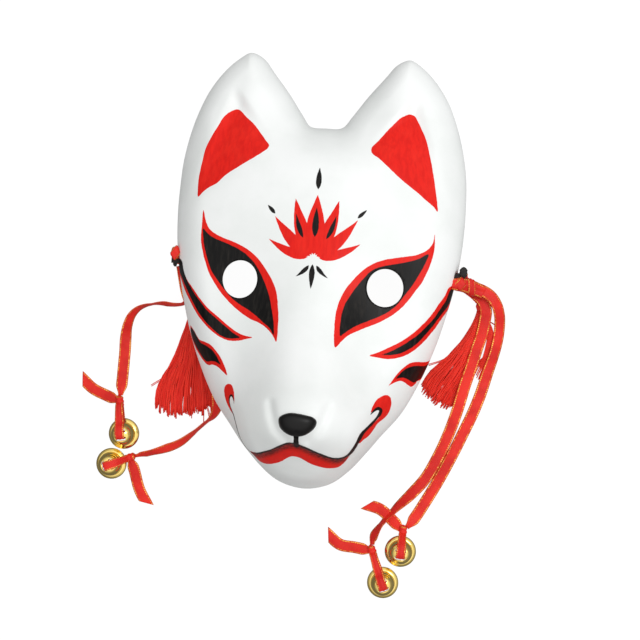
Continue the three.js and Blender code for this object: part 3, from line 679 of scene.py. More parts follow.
def makeHeadBand():
    right = band["route"]
    route = [(-x, y, z) for x, y, z in right[:0:-1]] + right
    line = evenPoints(route, 200)
    rings, uvs = [], []
    along = lineLengths(line)
    section = [(c * band["width"] / 2, s * band["thickness"] / 2) for c, s in roundedBox(0.3)]
    for i, (tangent, across, rise) in enumerate(lineFrames(line)):
        rings.append([line[i] + across * c + rise * s for c, s in section])
        uvs.append([(0.5 + c / band["width"], along[i]) for c, s in section])
    strip = newPiece("headBand", rings, ringFaces(len(rings), len(section)), blackElastic, uvs)
    lumps = []
    angles = np.arange(20) * fullTurn / 20
    for centre, size in band["knots"]:
        ringsHere, uvsHere = [], []
        for t in np.linspace(-1, 1, 21):
            turns = 0.85 + 0.15 * abs(math.cos(fullTurn * t))
            radius = band["knotRadius"] * size * math.sqrt(max(0.05, 1 - t**4)) * turns
            slip = t * band["knotLength"] * size + 0.4 * np.sin(angles)
            ring = np.column_stack([radius * np.cos(angles), slip, radius * np.sin(angles)])
            ringsHere.append(centre + ring)
            uvsHere.append([(0.5 + t / 2, angle * radius) for angle in angles])
        lumps.append(newPiece("bandKnot", ringsHere, ringFaces(21, len(angles)), blackElastic, uvsHere))
    placePiece(strip, "elastic", "head_band")
    knots = placePiece(joinPieces(lumps, "headBandKnots"), "elastic")
    print("head band", round(along[-1], 1), "mm")


makeHeadBand()

# Hitches: the ribbon wrapped round the rim through the strap hole and bound in a knot outside

hitch = {
    "strip": 4.4, "leftReach": 0.2,
    "leftKnot": {"centre": (-83.2, 6.0, 17.5), "radii": (3.2, 4.5, 3.7)},
    "rightKnot": {"centre": (84.4, -2.2, 16.6), "radii": (3.6, 4.2, 2.7)},
    # folded ribbon that leaves the right strap hole and splits into the two legs
    "rightFold": {
        "route": [
            (79.6, -2.6, 17.2), (82.8, -2.6, 17.0), (86.2, -2.7, 15.0), (90, -3.2, 12.8), (94, -4.4, 11.8),
            (98.6, -6.2, 11.4),
        ],
        "widths": [(0, 6.4), (0.15, 7.6), (0.5, 8.8), (1, 7.4)],
        "heights": [(0, 1.0), (0.3, 1.7), (0.7, 1.5), (1, 0.5)],
        "binding": 0.6,
    },
    "binding": {"width": 4.6, "lean": 1.6, "over": (0.3, 0.7)},
    # crossing wraps of a knot: tilt, size and shift of each, how square they are
    "wraps": ((0.3, 0.9, 0.0), (-0.8, 0.98, 0.5), (1.35, 0.84, -0.5)), "square": 3.2, "tight": 0.86,
}
rimAtStrap = strapHole["z"] - strapHole["aboveRim"]


def foldedBand(name, route, widths, heights):
    line = evenPoints(route, 40)
    along = lineLengths(line)
    shares = along / along[-1]
    halfWidths = np.interp(shares, *np.array(widths, float).T) / 2
    rises = np.interp(shares, *np.array(heights, float).T)
    rings, uvs = [], []
    for i, (tangent, across, rise) in enumerate(lineFrames(line)):
        ring, uvRing = [], []
        for k in range(32):
            u = k / 16 if k <= 16 else 2 - k / 16
            dome = math.sqrt(max(0.0, 1 - (2 * u - 1) ** 2))
            fold = 0.3 * math.sin(fullTurn * (1.8 * u + 0.9 * shares[i])) * dome
            height = (rises[i] * dome + fold + 0.15) if k <= 16 else -0.6 * rises[i] * dome - 0.15
            ring.append(line[i] + across * (2 * u - 1) * halfWidths[i] + rise * height)
            uvRing.append((u, along[i]))
        rings.append(ring)
        uvs.append(uvRing)
    return newPiece(name, rings, ringFaces(len(rings), 32), satinRibbon, uvs)


def bindingStrip(route, widths, heights, share):
    line = evenPoints(route, 40)
    at = round(share * 40)
    tangent, across, rise = lineFrames(line)[at]
    binding = hitch["binding"]
    half = np.interp(share, *np.array(widths, float).T) / 2 + binding["over"][0]
    top = np.interp(share, *np.array(heights, float).T) + binding["over"][1]
    loop = [line[at] + (across * half + tangent * binding["lean"]) * math.cos(a) + rise * top * math.sin(a)
            for a in np.linspace(-0.5, math.pi + 0.5, 13)]
    loopLine = evenPoints(loop, 40)
    stripWidths = np.full(len(loopLine), binding["width"])
    return ribbonStrip(loopLine, stripWidths, [(0, 0), (1, 0)], "binding", satinRibbon, side=tangent)


def boundKnot(centre, radii):
    # crossing wraps pulled tight into a lump with flat sides
    pieces = []
    power = hitch["square"]
    for tilt, scale, shift in hitch["wraps"]:
        axis = np.array((math.sin(tilt), math.cos(tilt), 0.15))
        axis /= np.linalg.norm(axis)
        side = np.cross(axis, (0, 0, 1.0))
        side /= np.linalg.norm(side)
        up = np.cross(side, axis)
        rings, uvs = [], []
        for t in np.linspace(-1, 1, 17):
            radius = scale * (1 - abs(t) ** 5) ** 0.35 if abs(t) < 1 else 0.05
            ring, uvRing = [], []
            for k in range(32):
                angle = fullTurn * k / 32
                squared = (abs(math.cos(angle)) ** power + abs(math.sin(angle)) ** power) ** (-1 / power)
                fold = hitch["tight"] * radius * squared * (1 + 0.05 * math.sin(5 * angle + shift * 4))
                offset = axis * (t * 0.8 * scale) + fold * (side * math.cos(angle) + up * math.sin(angle))
                ring.append(np.array(centre) + offset * np.array(radii))
                uvRing.append((0.5 + t / 2, angle * radii[1]))
            rings.append(ring)
            uvs.append(uvRing)
        pieces.append(newPiece("wrap", rings, ringFaces(17, 32), satinRibbon, uvs))
    return pieces


def makeHitch(name, mirror):
    x, y, z = strapHole["x"], strapHole["y"], strapHole["z"]
    below, through = rimAtStrap - 2, z - 1.2
    reach = hitch["leftReach"] if mirror < 0 else 1  # the loop of the left one stays close to the shell
    loop = [
        (x + 6.4 * reach, through - 1.4), (x + 3.4 * reach, through), (x, through),
        (x - 3.6, through - 0.4), (x - 5.4, through - 2.6), (x - 5.2, below + 2.2), (x - 3, below),
        (x + 0.4, below - 0.4), (x + 3.2, below + 0.4), (x + 3.2 + 2.8 * reach, below + 2),
    ]
    line = evenPoints([(mirror * px, y, pz) for px, pz in loop], 50)
    widths = np.full(len(line), hitch["strip"])
    pieces = [ribbonStrip(line, widths, [(0, 0), (1, 0)], "hitchLoop", satinRibbon, side=(0, 1, 0))]
    if mirror < 0:
        pieces += boundKnot(**hitch["leftKnot"])
    else:
        fold = dict(hitch["rightFold"])
        share = fold.pop("binding")
        pieces += [foldedBand("fold", **fold), bindingStrip(**fold, share=share)]
        pieces += boundKnot(**hitch["rightKnot"])
    return joinPieces(pieces, name)


tiedAbove = {"left": [], "right": []}
for label, mirror in (("Left", -1), ("Right", 1)):
    hitchPiece = makeHitch("ribbonHitch" + label, mirror)
    placePiece(hitchPiece, "ribbon", "ribbon_hitch_" + label.lower())
    tiedAbove[label.lower()].append(hitchPiece)
print("head band and hitches made")

# Tassels: a bound head and loose threads that fan out on the surface

tassels = {
    "left": {
        "cordStart": (-83.8, -2.3, 4.6), "head": (-69, -11, 3.6), "threads": 330,
        "spine": [
            (-69, -12.5), (-69.9, -15.4), (-71.6, -24), (-72.6, -36), (-73.6, -57), (-75.8, -78),
            (-75.2, -94),
        ],
        "spread": [1.6, 1.9, 2.6, 4.4, 10, 17, 17.5], "thick": [1.6, 1.9, 2.2, 2.3, 2, 1.5, 1.0],
        "strays": [
            [(-72, -30), (-78, -48), (-84, -64), (-96.5, -74)],
            [(-72, -34), (-80, -56), (-88, -74), (-92.4, -84)],
            [(-71, -28), (-79, -50), (-86, -66), (-91, -78)],
            [(-75, -52), (-70, -72), (-62, -84), (-59.5, -92)],
            [(-75, -50), (-70, -70), (-64, -84), (-63, -94.5)],
        ],
    },
    "right": {
        "cordStart": (86.9, -5.4, 3.9), "head": (98.2, -14.3, 3.6), "threads": 280,
        "spine": [
            (98.1, -15.8), (97.9, -18.6), (96.6, -25.5), (93.6, -35), (88, -49), (79.5, -63.5),
            (73.5, -74.5),
        ],
        "spread": [1.6, 1.9, 2.8, 4.4, 8.6, 12, 11.5], "thick": [1.6, 1.9, 2.2, 2.2, 1.9, 1.5, 0.9],
        "strays": [
            [(100, -22), (106, -24), (110.5, -28), (111.5, -36)],
            [(97, -30), (90, -40), (78, -50), (70.5, -54.5)],
            [(96, -30), (88, -40), (78, -47), (69.5, -50.5)],
            [(98, -30), (93, -42), (84, -54), (67, -64)],
            # loose threads between the two ribbons
            *[(
                (100 + 0.18 * k, -19), (104.8 + 0.2 * k, -28 - 0.2 * k), (103.9 + 0.24 * k, -42 + 0.1 * k),
                (99.6 + 0.24 * k, -57 - 0.3 * k + 3.6 * (k % 3)),
            ) for k in range(-9, 10)],
        ],
    },
}


fan = {
    "clumps": 60, "tidied": 0.25, "stops": 20, "stray": 0.8,
    "ragged": 0.055, "cut": 0.03, "rounded": 0.07,  # how much shorter threads may be, as shares
}
tasselKnot = {
    "radius": 2.75, "turns": 26, "thread": 0.36,
    "plies": 3, "plyRadius": 0.5, "plyOffset": 0.42, "plyTurn": 0.55,  # cord from the hitch to the head
}


def tubeRings(line, radius, sides, phase):
    rings = []
    for centre, (tangent, across, rise) in zip(line, lineFrames(line, up=(0.03, 0.02, 1.0))):
        rings.append([centre + radius * (across * math.cos(a) + rise * math.sin(a))
                      for a in (phase + fullTurn * k / sides for k in range(sides))])
    return np.array(rings)


def makeTassel(name, tassel, seed):
    rng = random.Random(seed)
    spine = np.array([(x, y, 0) for x, y in tassel["spine"]], float)
    spread, thick = np.array(tassel["spread"]), np.array(tassel["thick"])
    fine = catmullRom(np.column_stack([spine[:, :2], spread, thick]), False, 6)
    along = lineLengths(fine[:, :2])
    tangents = np.gradient(fine[:, :2], axis=0)
    tangents /= np.linalg.norm(tangents, axis=1)[:, None]
    across = np.column_stack([-tangents[:, 1], tangents[:, 0]])
    points, faces, uvs, shades = [], [], [], []

    def addTube(line, radius, shade, sides=5):
        rings = tubeRings(line, radius, sides, rng.random() * 6)
        start = len(points)
        length = lineLengths(line)
        points.extend(rings.reshape(-1, 3).tolist())
        faces.extend(ringFaces(len(line), sides, start))
        for i in range(len(line)):
            uvs.extend([(k / sides, length[i]) for k in range(sides)])
        shades.extend([shade] * (len(line) * sides))

    clumps = [rng.uniform(-1, 1) for _ in range(fan["clumps"])]
    for _ in range(tassel["threads"]):
        lane = rng.uniform(-1, 1)
        nearest = min(clumps, key=lambda c: abs(c - lane))
        tidied = lane + fan["tidied"] * (nearest - lane)
        layer = rng.uniform(0.05, 1)
        shorter = fan["ragged"] * abs(math.sin(nearest * 23)) + rng.uniform(0, fan["cut"])
        end = along[-1] * (1 - shorter - fan["rounded"] * abs(nearest) ** 3)
        wave, phase, pitch = rng.uniform(0.1, 0.5), rng.uniform(0, 6.3), rng.uniform(14, 34)
        stops = np.linspace(0, end, fan["stops"])
        laneAt = lane + (tidied - lane) * easeStep(0.2, 0.9, stops / along[-1])
        values = [np.interp(stops, along, fine[:, c]) for c in range(4)]
        acrossAt = np.column_stack([np.interp(stops, along, across[:, c]) for c in range(2)])
        sway = wave * np.sin(stops / pitch * 6.28 + phase) * easeStep(0, 0.4, stops / along[-1])
        sway += laneAt * values[2]
        bulge = np.sqrt(np.maximum(0.08, 1 - 0.9 * laneAt**2))
        line = np.column_stack([
            values[0] + acrossAt[:, 0] * sway, values[1] + acrossAt[:, 1] * sway,
            0.35 + 2 * values[3] * bulge * layer * (1 - 0.25 * easeStep(0.5, 1, stops / along[-1])),
        ])
        # strand value: each thread's own tone, made darker the lower it lies in the pile, as painted shade
        addTube(line, thread["radius"] * rng.uniform(0.85, 1.15), rng.uniform(0, 1) * (0.4 + 0.6 * layer))
    for stray in tassel["strays"]:
        for copy in range(2):
            shift = [copy * rng.uniform(-fan["stray"], fan["stray"]) for _ in range(2)]
            shift = np.array([*shift, 0])
            route = [np.array((x, y, 2.4 - 2.0 * i / 3)) + shift * (i / 3) for i, (x, y) in enumerate(stray)]
            addTube(evenPoints(route, 22), thread["radius"] * 0.9, rng.uniform(0.2, 0.9))
    head = np.array(tassel["head"], float)
    for _ in range(tasselKnot["turns"]):
        # threads wound over the ball that ties the head
        tilt = rng.uniform(0, math.pi)
        lean = rng.uniform(-0.9, 0.9)
        u = np.array((math.cos(tilt), math.sin(tilt), 0))
        w = np.array((-math.sin(tilt) * math.sin(lean), math.cos(tilt) * math.sin(lean), math.cos(lean)))
        circle = np.linspace(0, fullTurn, 25)
        loop = [head + tasselKnot["radius"] * (u * math.cos(a) + w * math.sin(a)) for a in circle]
        addTube(np.array(loop), tasselKnot["thread"], rng.uniform(0.1, 0.9))
    hitchAt = np.array(tassel["cordStart"])
    between = (hitchAt + head) / 2 + np.array((0, 0.6, 0))
    between[2] = 4.6
    cordLine = evenPoints([hitchAt, between, head], 30)
    for ply in range(tasselKnot["plies"]):
        turns = np.arange(len(cordLine)) * tasselKnot["plyTurn"] + ply * fullTurn / tasselKnot["plies"]
        twist = tasselKnot["plyOffset"] * np.column_stack([np.cos(turns), 0.5 * np.sin(turns), np.sin(turns)])
        addTube(cordLine + twist, tasselKnot["plyRadius"], 0.4, 7)
    piece = newPiece(name, points, faces, tasselThread, uvs)
    piece.data.attributes.new("strand", "FLOAT", "POINT").data.foreach_set("value", np.array(shades, float))
    return placePiece(piece, "tassel", "tassel_" + name[6:].lower())


for seed, (label, tassel) in enumerate(tassels.items()):
    tiedAbove[label].append(makeTassel("tassel" + label.capitalize(), tassel, 31 + seed))
print("tassels made")

# Pieces that go with each ribbon: its end and bell, and for the inner one of its side also the hitch and the
# tassel
for strandName, made in ribbonPieces.items():
    side, place = strandName.split("_")
    onIt = made["onIt"] + (tiedAbove[side] if place == "inner" else [])

# Shell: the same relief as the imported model, finer, with softer lips

shell = {
    "halfWidth": 85.8, "halfHeight": 129.5, "depth": 92.0, "wall": 2.4, "rimLift": 9.0, "shoulder": 20.0,
    "earShoulder": 13.0, "sectors": 480, "outerRings": 86, "innerRings": 22, "crowding": 0.12,
    "coatReach": 1.5, "strokeReach": 0.8, "slopeStep": 8, "wallGrowth": 1.7,
    "edgeRound": 0.5, "holeRound": 0.8,
    "eyeHole": (20.5, 21.5), "eyeAt": (0.481, -0.061),
}
outlineShares = [
    (0, 0.666), (0.111, 0.672), (0.175, 0.726), (0.274, 0.819), (0.386, 0.911), (0.466, 0.975), (0.554, 1),
    (0.632, 0.973), (0.733, 0.911), (0.831, 0.819), (0.903, 0.71), (0.958, 0.587), (0.991, 0.463),
    (1, 0.324), (0.99, 0.154), (0.96, 0), (0.911, -0.154), (0.847, -0.309), (0.761, -0.463),
    (0.646, -0.618), (0.507, -0.737), (0.414, -0.819), (0.309, -0.903), (0.175, -0.973), (0, -1),
]
crownHeight = smoothCurve([
    (-1, 0.22), (-0.92, 0.3), (-0.81, 0.38), (-0.66, 0.45), (-0.46, 0.495), (-0.23, 0.515), (0, 0.515),
    (0.23, 0.485), (0.46, 0.43), (0.62, 0.375), (0.77, 0.31), (1, 0.23),
])
snoutHeight = smoothCurve([
    (-1, 0.02), (-0.92, 0.14), (-0.81, 0.3), (-0.74, 0.405), (-0.68, 0.475), (-0.62, 0.48), (-0.55, 0.42),
    (-0.46, 0.315), (-0.35, 0.205), (-0.23, 0.12), (-0.06, 0.045), (0.12, 0),
])
snoutSpread = smoothCurve([
    (-1, 0.32), (-0.86, 0.42), (-0.75, 0.475), (-0.64, 0.44), (-0.46, 0.38), (-0.23, 0.31), (0, 0.25),
])
# What else shapes the face: heights as shares of the depth, places as shares of half the width and height
relief = {
    "sideFall": 0.216, "snoutSquareness": 2.3, "facetPress": 0.05,
    "earDish": {"deep": 0.155, "edge": 0.56, "width": 0.25, "rise": (0.4, 0.76)},
    "eyeSocket": {"deep": 0.035, "at": (0.46, -0.05), "size": (0.27, 0.17)},
    "nostril": {
        "deep": 0.026, "width": 0.03,
        "crease": [(0.182, -0.575), (0.159, -0.625), (0.122, -0.676), (0.07, -0.714)],
    },
    "underLip": {"deep": 0.058, "from": -0.35, "width": 0.022, "fade": (0.3, 0.42)},
    # from here in millimetres: groove between the lips, swell beside the philtrum, philtrum, lower lip
    "mouth": {"deep": 0.7, "width": 0.9},
    "lipSwell": {"high": 1.0, "at": (13, -93.5), "size": (8, 5.5)},
    "philtrum": {"deep": 0.8, "width": 1.5, "low": (-98, -95), "high": (-86, -90)},
    "lowerLip": {"high": 0.9, "at": (0, 5.5), "size": (20, 3.2)},
}
rimShape = smoothCurve([
    (-0.84, 0), (-0.76, 0.16), (-0.65, 0.45), (-0.45, 0.85), (-0.2, 1), (0.05, 0.85), (0.25, 0.4),
    (0.42, 0),
])
earNarrow = smoothCurve([(0.5, 0), (0.7, 1)])
jawNarrow = smoothCurve([(-0.8, 1), (-0.6, 0)])
mouthLine = smoothCurve([
    (-35, -98.2), (-31.4, -103.6), (-28.4, -105.1), (-23.2, -104.1), (-18.3, -102.1), (-13, -99.4),
    (-8.7, -96.7), (-4.6, -95), (-0.3, -95.3), (3.4, -96.6), (8.1, -99), (12.5, -101.1), (16.2, -102.8),
    (19.9, -103.7), (23.8, -103.4), (26.9, -101.8), (31, -97.3), (36.1, -90.5),
])
# Pressed triangle in each ear: its corners, and how far each wall slopes in millimetres
facet = {
    "apex": (0.589, 0.745), "inner": (0.32, 0.548), "low": (0.82, 0.28), "floorRun": 0.29,
    "innerWall": (-5, 2.5), "outerWall": (-8, 1.5),
}


def outlineLine(perSpan):
    left = [(-u, v) for u, v in outlineShares[1:-1]]
    shares = np.array(left + outlineShares[::-1])
    return catmullRom(shares * (shell["halfWidth"], shell["halfHeight"]), True, perSpan)


fineOutline = outlineLine(10)


def outlineDistance(x, y, outline):
    nearest = np.full(np.shape(x), 1e9)
    for a, b in zip(outline, np.roll(outline, -1, axis=0)):
        nearest = np.minimum(nearest, segmentDistance(x, y, a, b))
    return nearest


def facetPress(u, v):
    def sideDistance(a, b):
        dx, dy = (b[0] - a[0]) * shell["halfWidth"], (b[1] - a[1]) * shell["halfHeight"]
        px, py = (u - a[0]) * shell["halfWidth"], (v - a[1]) * shell["halfHeight"]
        return (dx * py - dy * px) / math.hypot(dx, dy)

    apex, inner, low = (facet[k] for k in ("apex", "inner", "low"))
    walls = easeStep(*facet["innerWall"], sideDistance(apex, inner))
    walls = walls * easeStep(*facet["outerWall"], sideDistance(low, apex))
    return walls * clamp01(sideDistance(inner, low) / (facet["floorRun"] * shell["halfHeight"]))


def hump(x, y, at, size):
    return np.exp(-(((x - at[0]) / size[0]) ** 2) - ((y - at[1]) / size[1]) ** 2)


def faceHeight(x, y):
    halfWidth, halfHeight = shell["halfWidth"], shell["halfHeight"]
    u, v = np.abs(x) / halfWidth, y / halfHeight
    share = crownHeight(v) - relief["sideFall"] * u**2
    dish = relief["earDish"]
    inside = np.maximum(0, dish["edge"] - u) / dish["width"]
    share -= dish["deep"] * easeStep(*dish["rise"], v) * (1 - np.exp(-(inside**2)))
    share += snoutHeight(v) * np.exp(-((u / snoutSpread(v)) ** relief["snoutSquareness"]))
    socket = relief["eyeSocket"]
    share -= socket["deep"] * hump(u, v, socket["at"], socket["size"])
    nostril = relief["nostril"]
    crease = [(a * halfWidth, b * halfHeight) for a, b in nostril["crease"]]
    fromCrease = np.minimum.reduce([segmentDistance(np.abs(x), y, a, b) for a, b in zip(crease, crease[1:])])
    share -= nostril["deep"] * np.exp(-((fromCrease / (nostril["width"] * halfWidth)) ** 2))
    belowMouth = mouthLine(x) - y
    under = relief["underLip"]
    lipFade = 1 - easeStep(*under["fade"], u)
    share -= under["deep"] * easeStep(under["from"], 1, belowMouth / (under["width"] * halfHeight)) * lipFade
    share -= relief["facetPress"] * facetPress(u, v)
    height = share * shell["depth"]
    mouth, swell, philtrum, lip = (relief[k] for k in ("mouth", "lipSwell", "philtrum", "lowerLip"))
    height -= mouth["deep"] * np.exp(-((belowMouth / mouth["width"]) ** 2)) * lipFade
    height += swell["high"] * hump(np.abs(x), y, swell["at"], swell["size"])
    ends = easeStep(*philtrum["low"], y) * easeStep(*philtrum["high"], y)
    height -= philtrum["deep"] * np.exp(-((x / philtrum["width"]) ** 2)) * ends
    height += lip["high"] * hump(x, belowMouth, lip["at"], lip["size"])
    return height


def shellHeight(x, y, inside):
    v = y / shell["halfHeight"]
    rim = shell["rimLift"] * rimShape(v)
    narrow = np.maximum(earNarrow(v), jawNarrow(v))
    shoulder = shell["shoulder"] + (shell["earShoulder"] - shell["shoulder"]) * narrow
    fromRim = clamp01(inside / shoulder)
    return rim + (faceHeight(x, y) - rim) * np.sqrt(1 - (1 - fromRim) ** 2)


def wallRise(x, y):
    step = shell["slopeStep"]
    slopeX = (faceHeight(x + step, y) - faceHeight(x - step, y)) / (2 * step)
    slopeY = (faceHeight(x, y + step) - faceHeight(x, y - step)) / (2 * step)
    return shell["wall"] * np.minimum(shell["wallGrowth"], np.sqrt(1 + slopeX**2 + slopeY**2))


# Painting, as closed outlines measured on the face

paintReach = 6.0  # how far from an edge the distance to it is kept

redShapes = {
    "eyeLeft": [
        (-65.7, 31), (-63.6, 24.2), (-60.5, 19.5), (-56.7, 16.9), (-51.6, 14.8), (-45.9, 13), (-40.2, 10.6),
        (-34.4, 7.1), (-28.9, 1.7), (-24.7, -3.7), (-21, -9.5), (-18.7, -15.4), (-17.3, -22),
        (-16.4, -28.5), (-16.1, -35.1), (-16.2, -41.8), (-18.6, -38.5), (-22.5, -34.9), (-27, -32.2),
        (-32.8, -30.2), (-38.1, -27.5), (-44.1, -23.2), (-50.8, -17.2), (-55.5, -11.4), (-59.4, -5.5),
        (-62.3, 1.1), (-64.4, 7.1), (-65.8, 13.9), (-65.9, 19.3), (-65.8, 24.8),
    ],
    "eyeRight": [
        (67.4, 24.5), (66.6, 19.3), (64.4, 15.8), (61.2, 13.5), (56.6, 11.5), (51.3, 10.4), (45.5, 9.2),
        (39.6, 7.7), (35, 5.9), (30.5, 3), (26.6, -0.6), (22.8, -5.3), (19.7, -9.7), (17.2, -15.2),
        (15.6, -20.6), (14.9, -26.5), (15, -32.3), (15.2, -37.5), (16.2, -42.9), (19, -39.6), (22.7, -35.9),
        (27.1, -33.3), (32.7, -30.6), (38.4, -27.9), (44, -24.6), (49.7, -20.1), (54.1, -15), (57.9, -9.4),
        (61.2, -4.4), (63.8, 1.2), (65.9, 6.7), (67.3, 12.8), (67.8, 18.8),
    ],
    "stripeLeft": [
        (-79.5, 2.4), (-77, -4.6), (-73, -10.4), (-68.1, -15.7), (-63.9, -20.6), (-57.9, -26),
        (-52.7, -29.7), (-46.6, -34.1), (-40.7, -37.7), (-35.5, -39.6), (-30.7, -40.2), (-35.4, -41.8),
        (-40.3, -42.9), (-45.3, -42.9), (-50.4, -41.4), (-55.7, -38.3), (-60.4, -34.6), (-65.5, -29.5),
        (-70, -23.6), (-73.8, -18.2), (-76.8, -13.1), (-80.5, -7), (-86, 1.3),
    ],
    "stripeRight": [
        (77.9, -4.7), (75.7, -9.7), (72.3, -14.9), (68.9, -20.5), (65.5, -25), (61, -30), (55.9, -34.5),
        (50.8, -38.1), (45.1, -41.4), (39.4, -44.3), (34.4, -46.3), (39.6, -47.1), (45.5, -47.7),
        (51.4, -46.5), (56.6, -44.3), (61.7, -40.5), (66.3, -35.4), (70.9, -29.4), (74.3, -23.8),
        (77.8, -18.7), (82, -10), (85, -2),
    ],
    "leafLeft": [
        (-70.9, -36), (-65.8, -41.8), (-63.5, -44), (-60.1, -44.8), (-56.1, -46.1), (-52.1, -49.6),
        (-48.9, -53.3), (-46.3, -57.8), (-44.1, -62.9), (-47.7, -60.5), (-50.9, -58.5), (-54.1, -57.5),
        (-57.6, -58.1), (-61.1, -55.9), (-64.8, -52.1), (-68.4, -47.5), (-71.3, -40.9),
    ],
    "leafRight": [
        (46.1, -63.4), (48.1, -60.3), (50.2, -57), (52.3, -54.4), (54.8, -51.8), (57.3, -49.8),
        (60.1, -48.7), (63.1, -48.5), (65.8, -48.6), (68.3, -48.3), (72, -46.6), (71, -49.6), (69.6, -52.7),
        (68.4, -55.7), (67.1, -57.9), (65.4, -59.4), (63.1, -59.6), (62.1, -61.8), (59.7, -63.3),
        (57.9, -62.3), (56, -60.8), (53.9, -59.8), (51.8, -60), (49.6, -60.9), (47.6, -62.1),
    ],
    "earLeft": [
        (-59, 86.6), (-55.7, 90.1), (-52.2, 91.8), (-49.7, 91.2), (-45.6, 87.2), (-40.5, 82.6),
        (-36.1, 77.4), (-32.5, 72.9), (-30.2, 70.1), (-30.7, 68.2), (-32.3, 66.5), (-37.6, 62.6),
        (-43.6, 58.6), (-49.7, 54.6), (-54.6, 51), (-58.8, 46.8), (-63.2, 44.2), (-67, 41.3), (-69.9, 38.4),
        (-70.6, 42.9), (-70.8, 48.1), (-70.1, 54.5), (-69.1, 61.6), (-67.8, 68.1), (-65, 74.6),
        (-61.7, 81.3),
    ],
    "earRight": [
        (46.2, 92.5), (49.3, 94), (52, 93), (53.9, 90.1), (56.6, 84.9), (59.5, 78.6), (61.4, 72.3),
        (63.1, 65.4), (64.7, 58.6), (66, 52.4), (67.1, 46.1), (68.3, 37.3), (66.1, 39.7), (60.9, 43.6),
        (54.4, 48.6), (47.9, 53.1), (42.8, 57.1), (37.6, 61.7), (33, 65.6), (29.8, 67.7), (28.5, 69.3),
        (28.4, 71.6), (29.4, 73.2), (32.2, 76.6), (36.2, 82.1), (40.3, 86.9), (43.2, 90.3),
    ],
    "lip": [
        (-29.3, -104.9), (-23.2, -103.7), (-18.3, -101.7), (-13, -99), (-8.7, -96.3), (-4.6, -94.6),
        (-0.3, -94.9), (3.4, -96.2), (8.1, -98.6), (12.5, -100.8), (16.2, -102.5), (19.9, -103.3),
        (23.8, -103), (28.4, -100.3), (27.4, -102.8), (25.5, -106.2), (23.6, -108.6), (21.1, -110.5),
        (17.3, -110.8), (13.4, -110.4), (9.6, -109.2), (5.8, -107.6), (2.6, -105.5), (-0.5, -104),
        (-3.8, -103.8), (-6.5, -105.2), (-10.1, -108), (-14.4, -109.9), (-19, -111.3), (-23.1, -111.2),
        (-26, -109.4),
    ],
    "curlRight": [
        (37.8, -77.5), (38.9, -73.5), (41.2, -69.9), (43.7, -68.3), (46, -67.8), (48, -69), (48.9, -71.7),
        (48.5, -75.9), (47, -79.3), (44.5, -82), (42.1, -83.8), (39.7, -87.8), (37.3, -91.1), (34.9, -92.8),
        (32.6, -95), (32.1, -93.1), (33.8, -89.4), (36.4, -86.4), (40.1, -83.3), (42.9, -79.4),
        (43.4, -76.3), (41.9, -75), (39.7, -76.1),
    ],
    "curlLeft": [
        (-38, -77.4), (-38.6, -72.8), (-39.5, -69.6), (-40.9, -67.5), (-42.9, -67.2), (-44.9, -68.3),
        (-45.8, -70.9), (-45.5, -73.5), (-44.6, -76.4), (-42.9, -79.6), (-41.1, -82), (-39.2, -83.8),
        (-37.9, -85.5), (-38.8, -83.4), (-40.1, -81), (-41.3, -78.5), (-42, -76.3), (-41.6, -74),
        (-40.4, -72.9), (-39.3, -74.3),
    ],
}
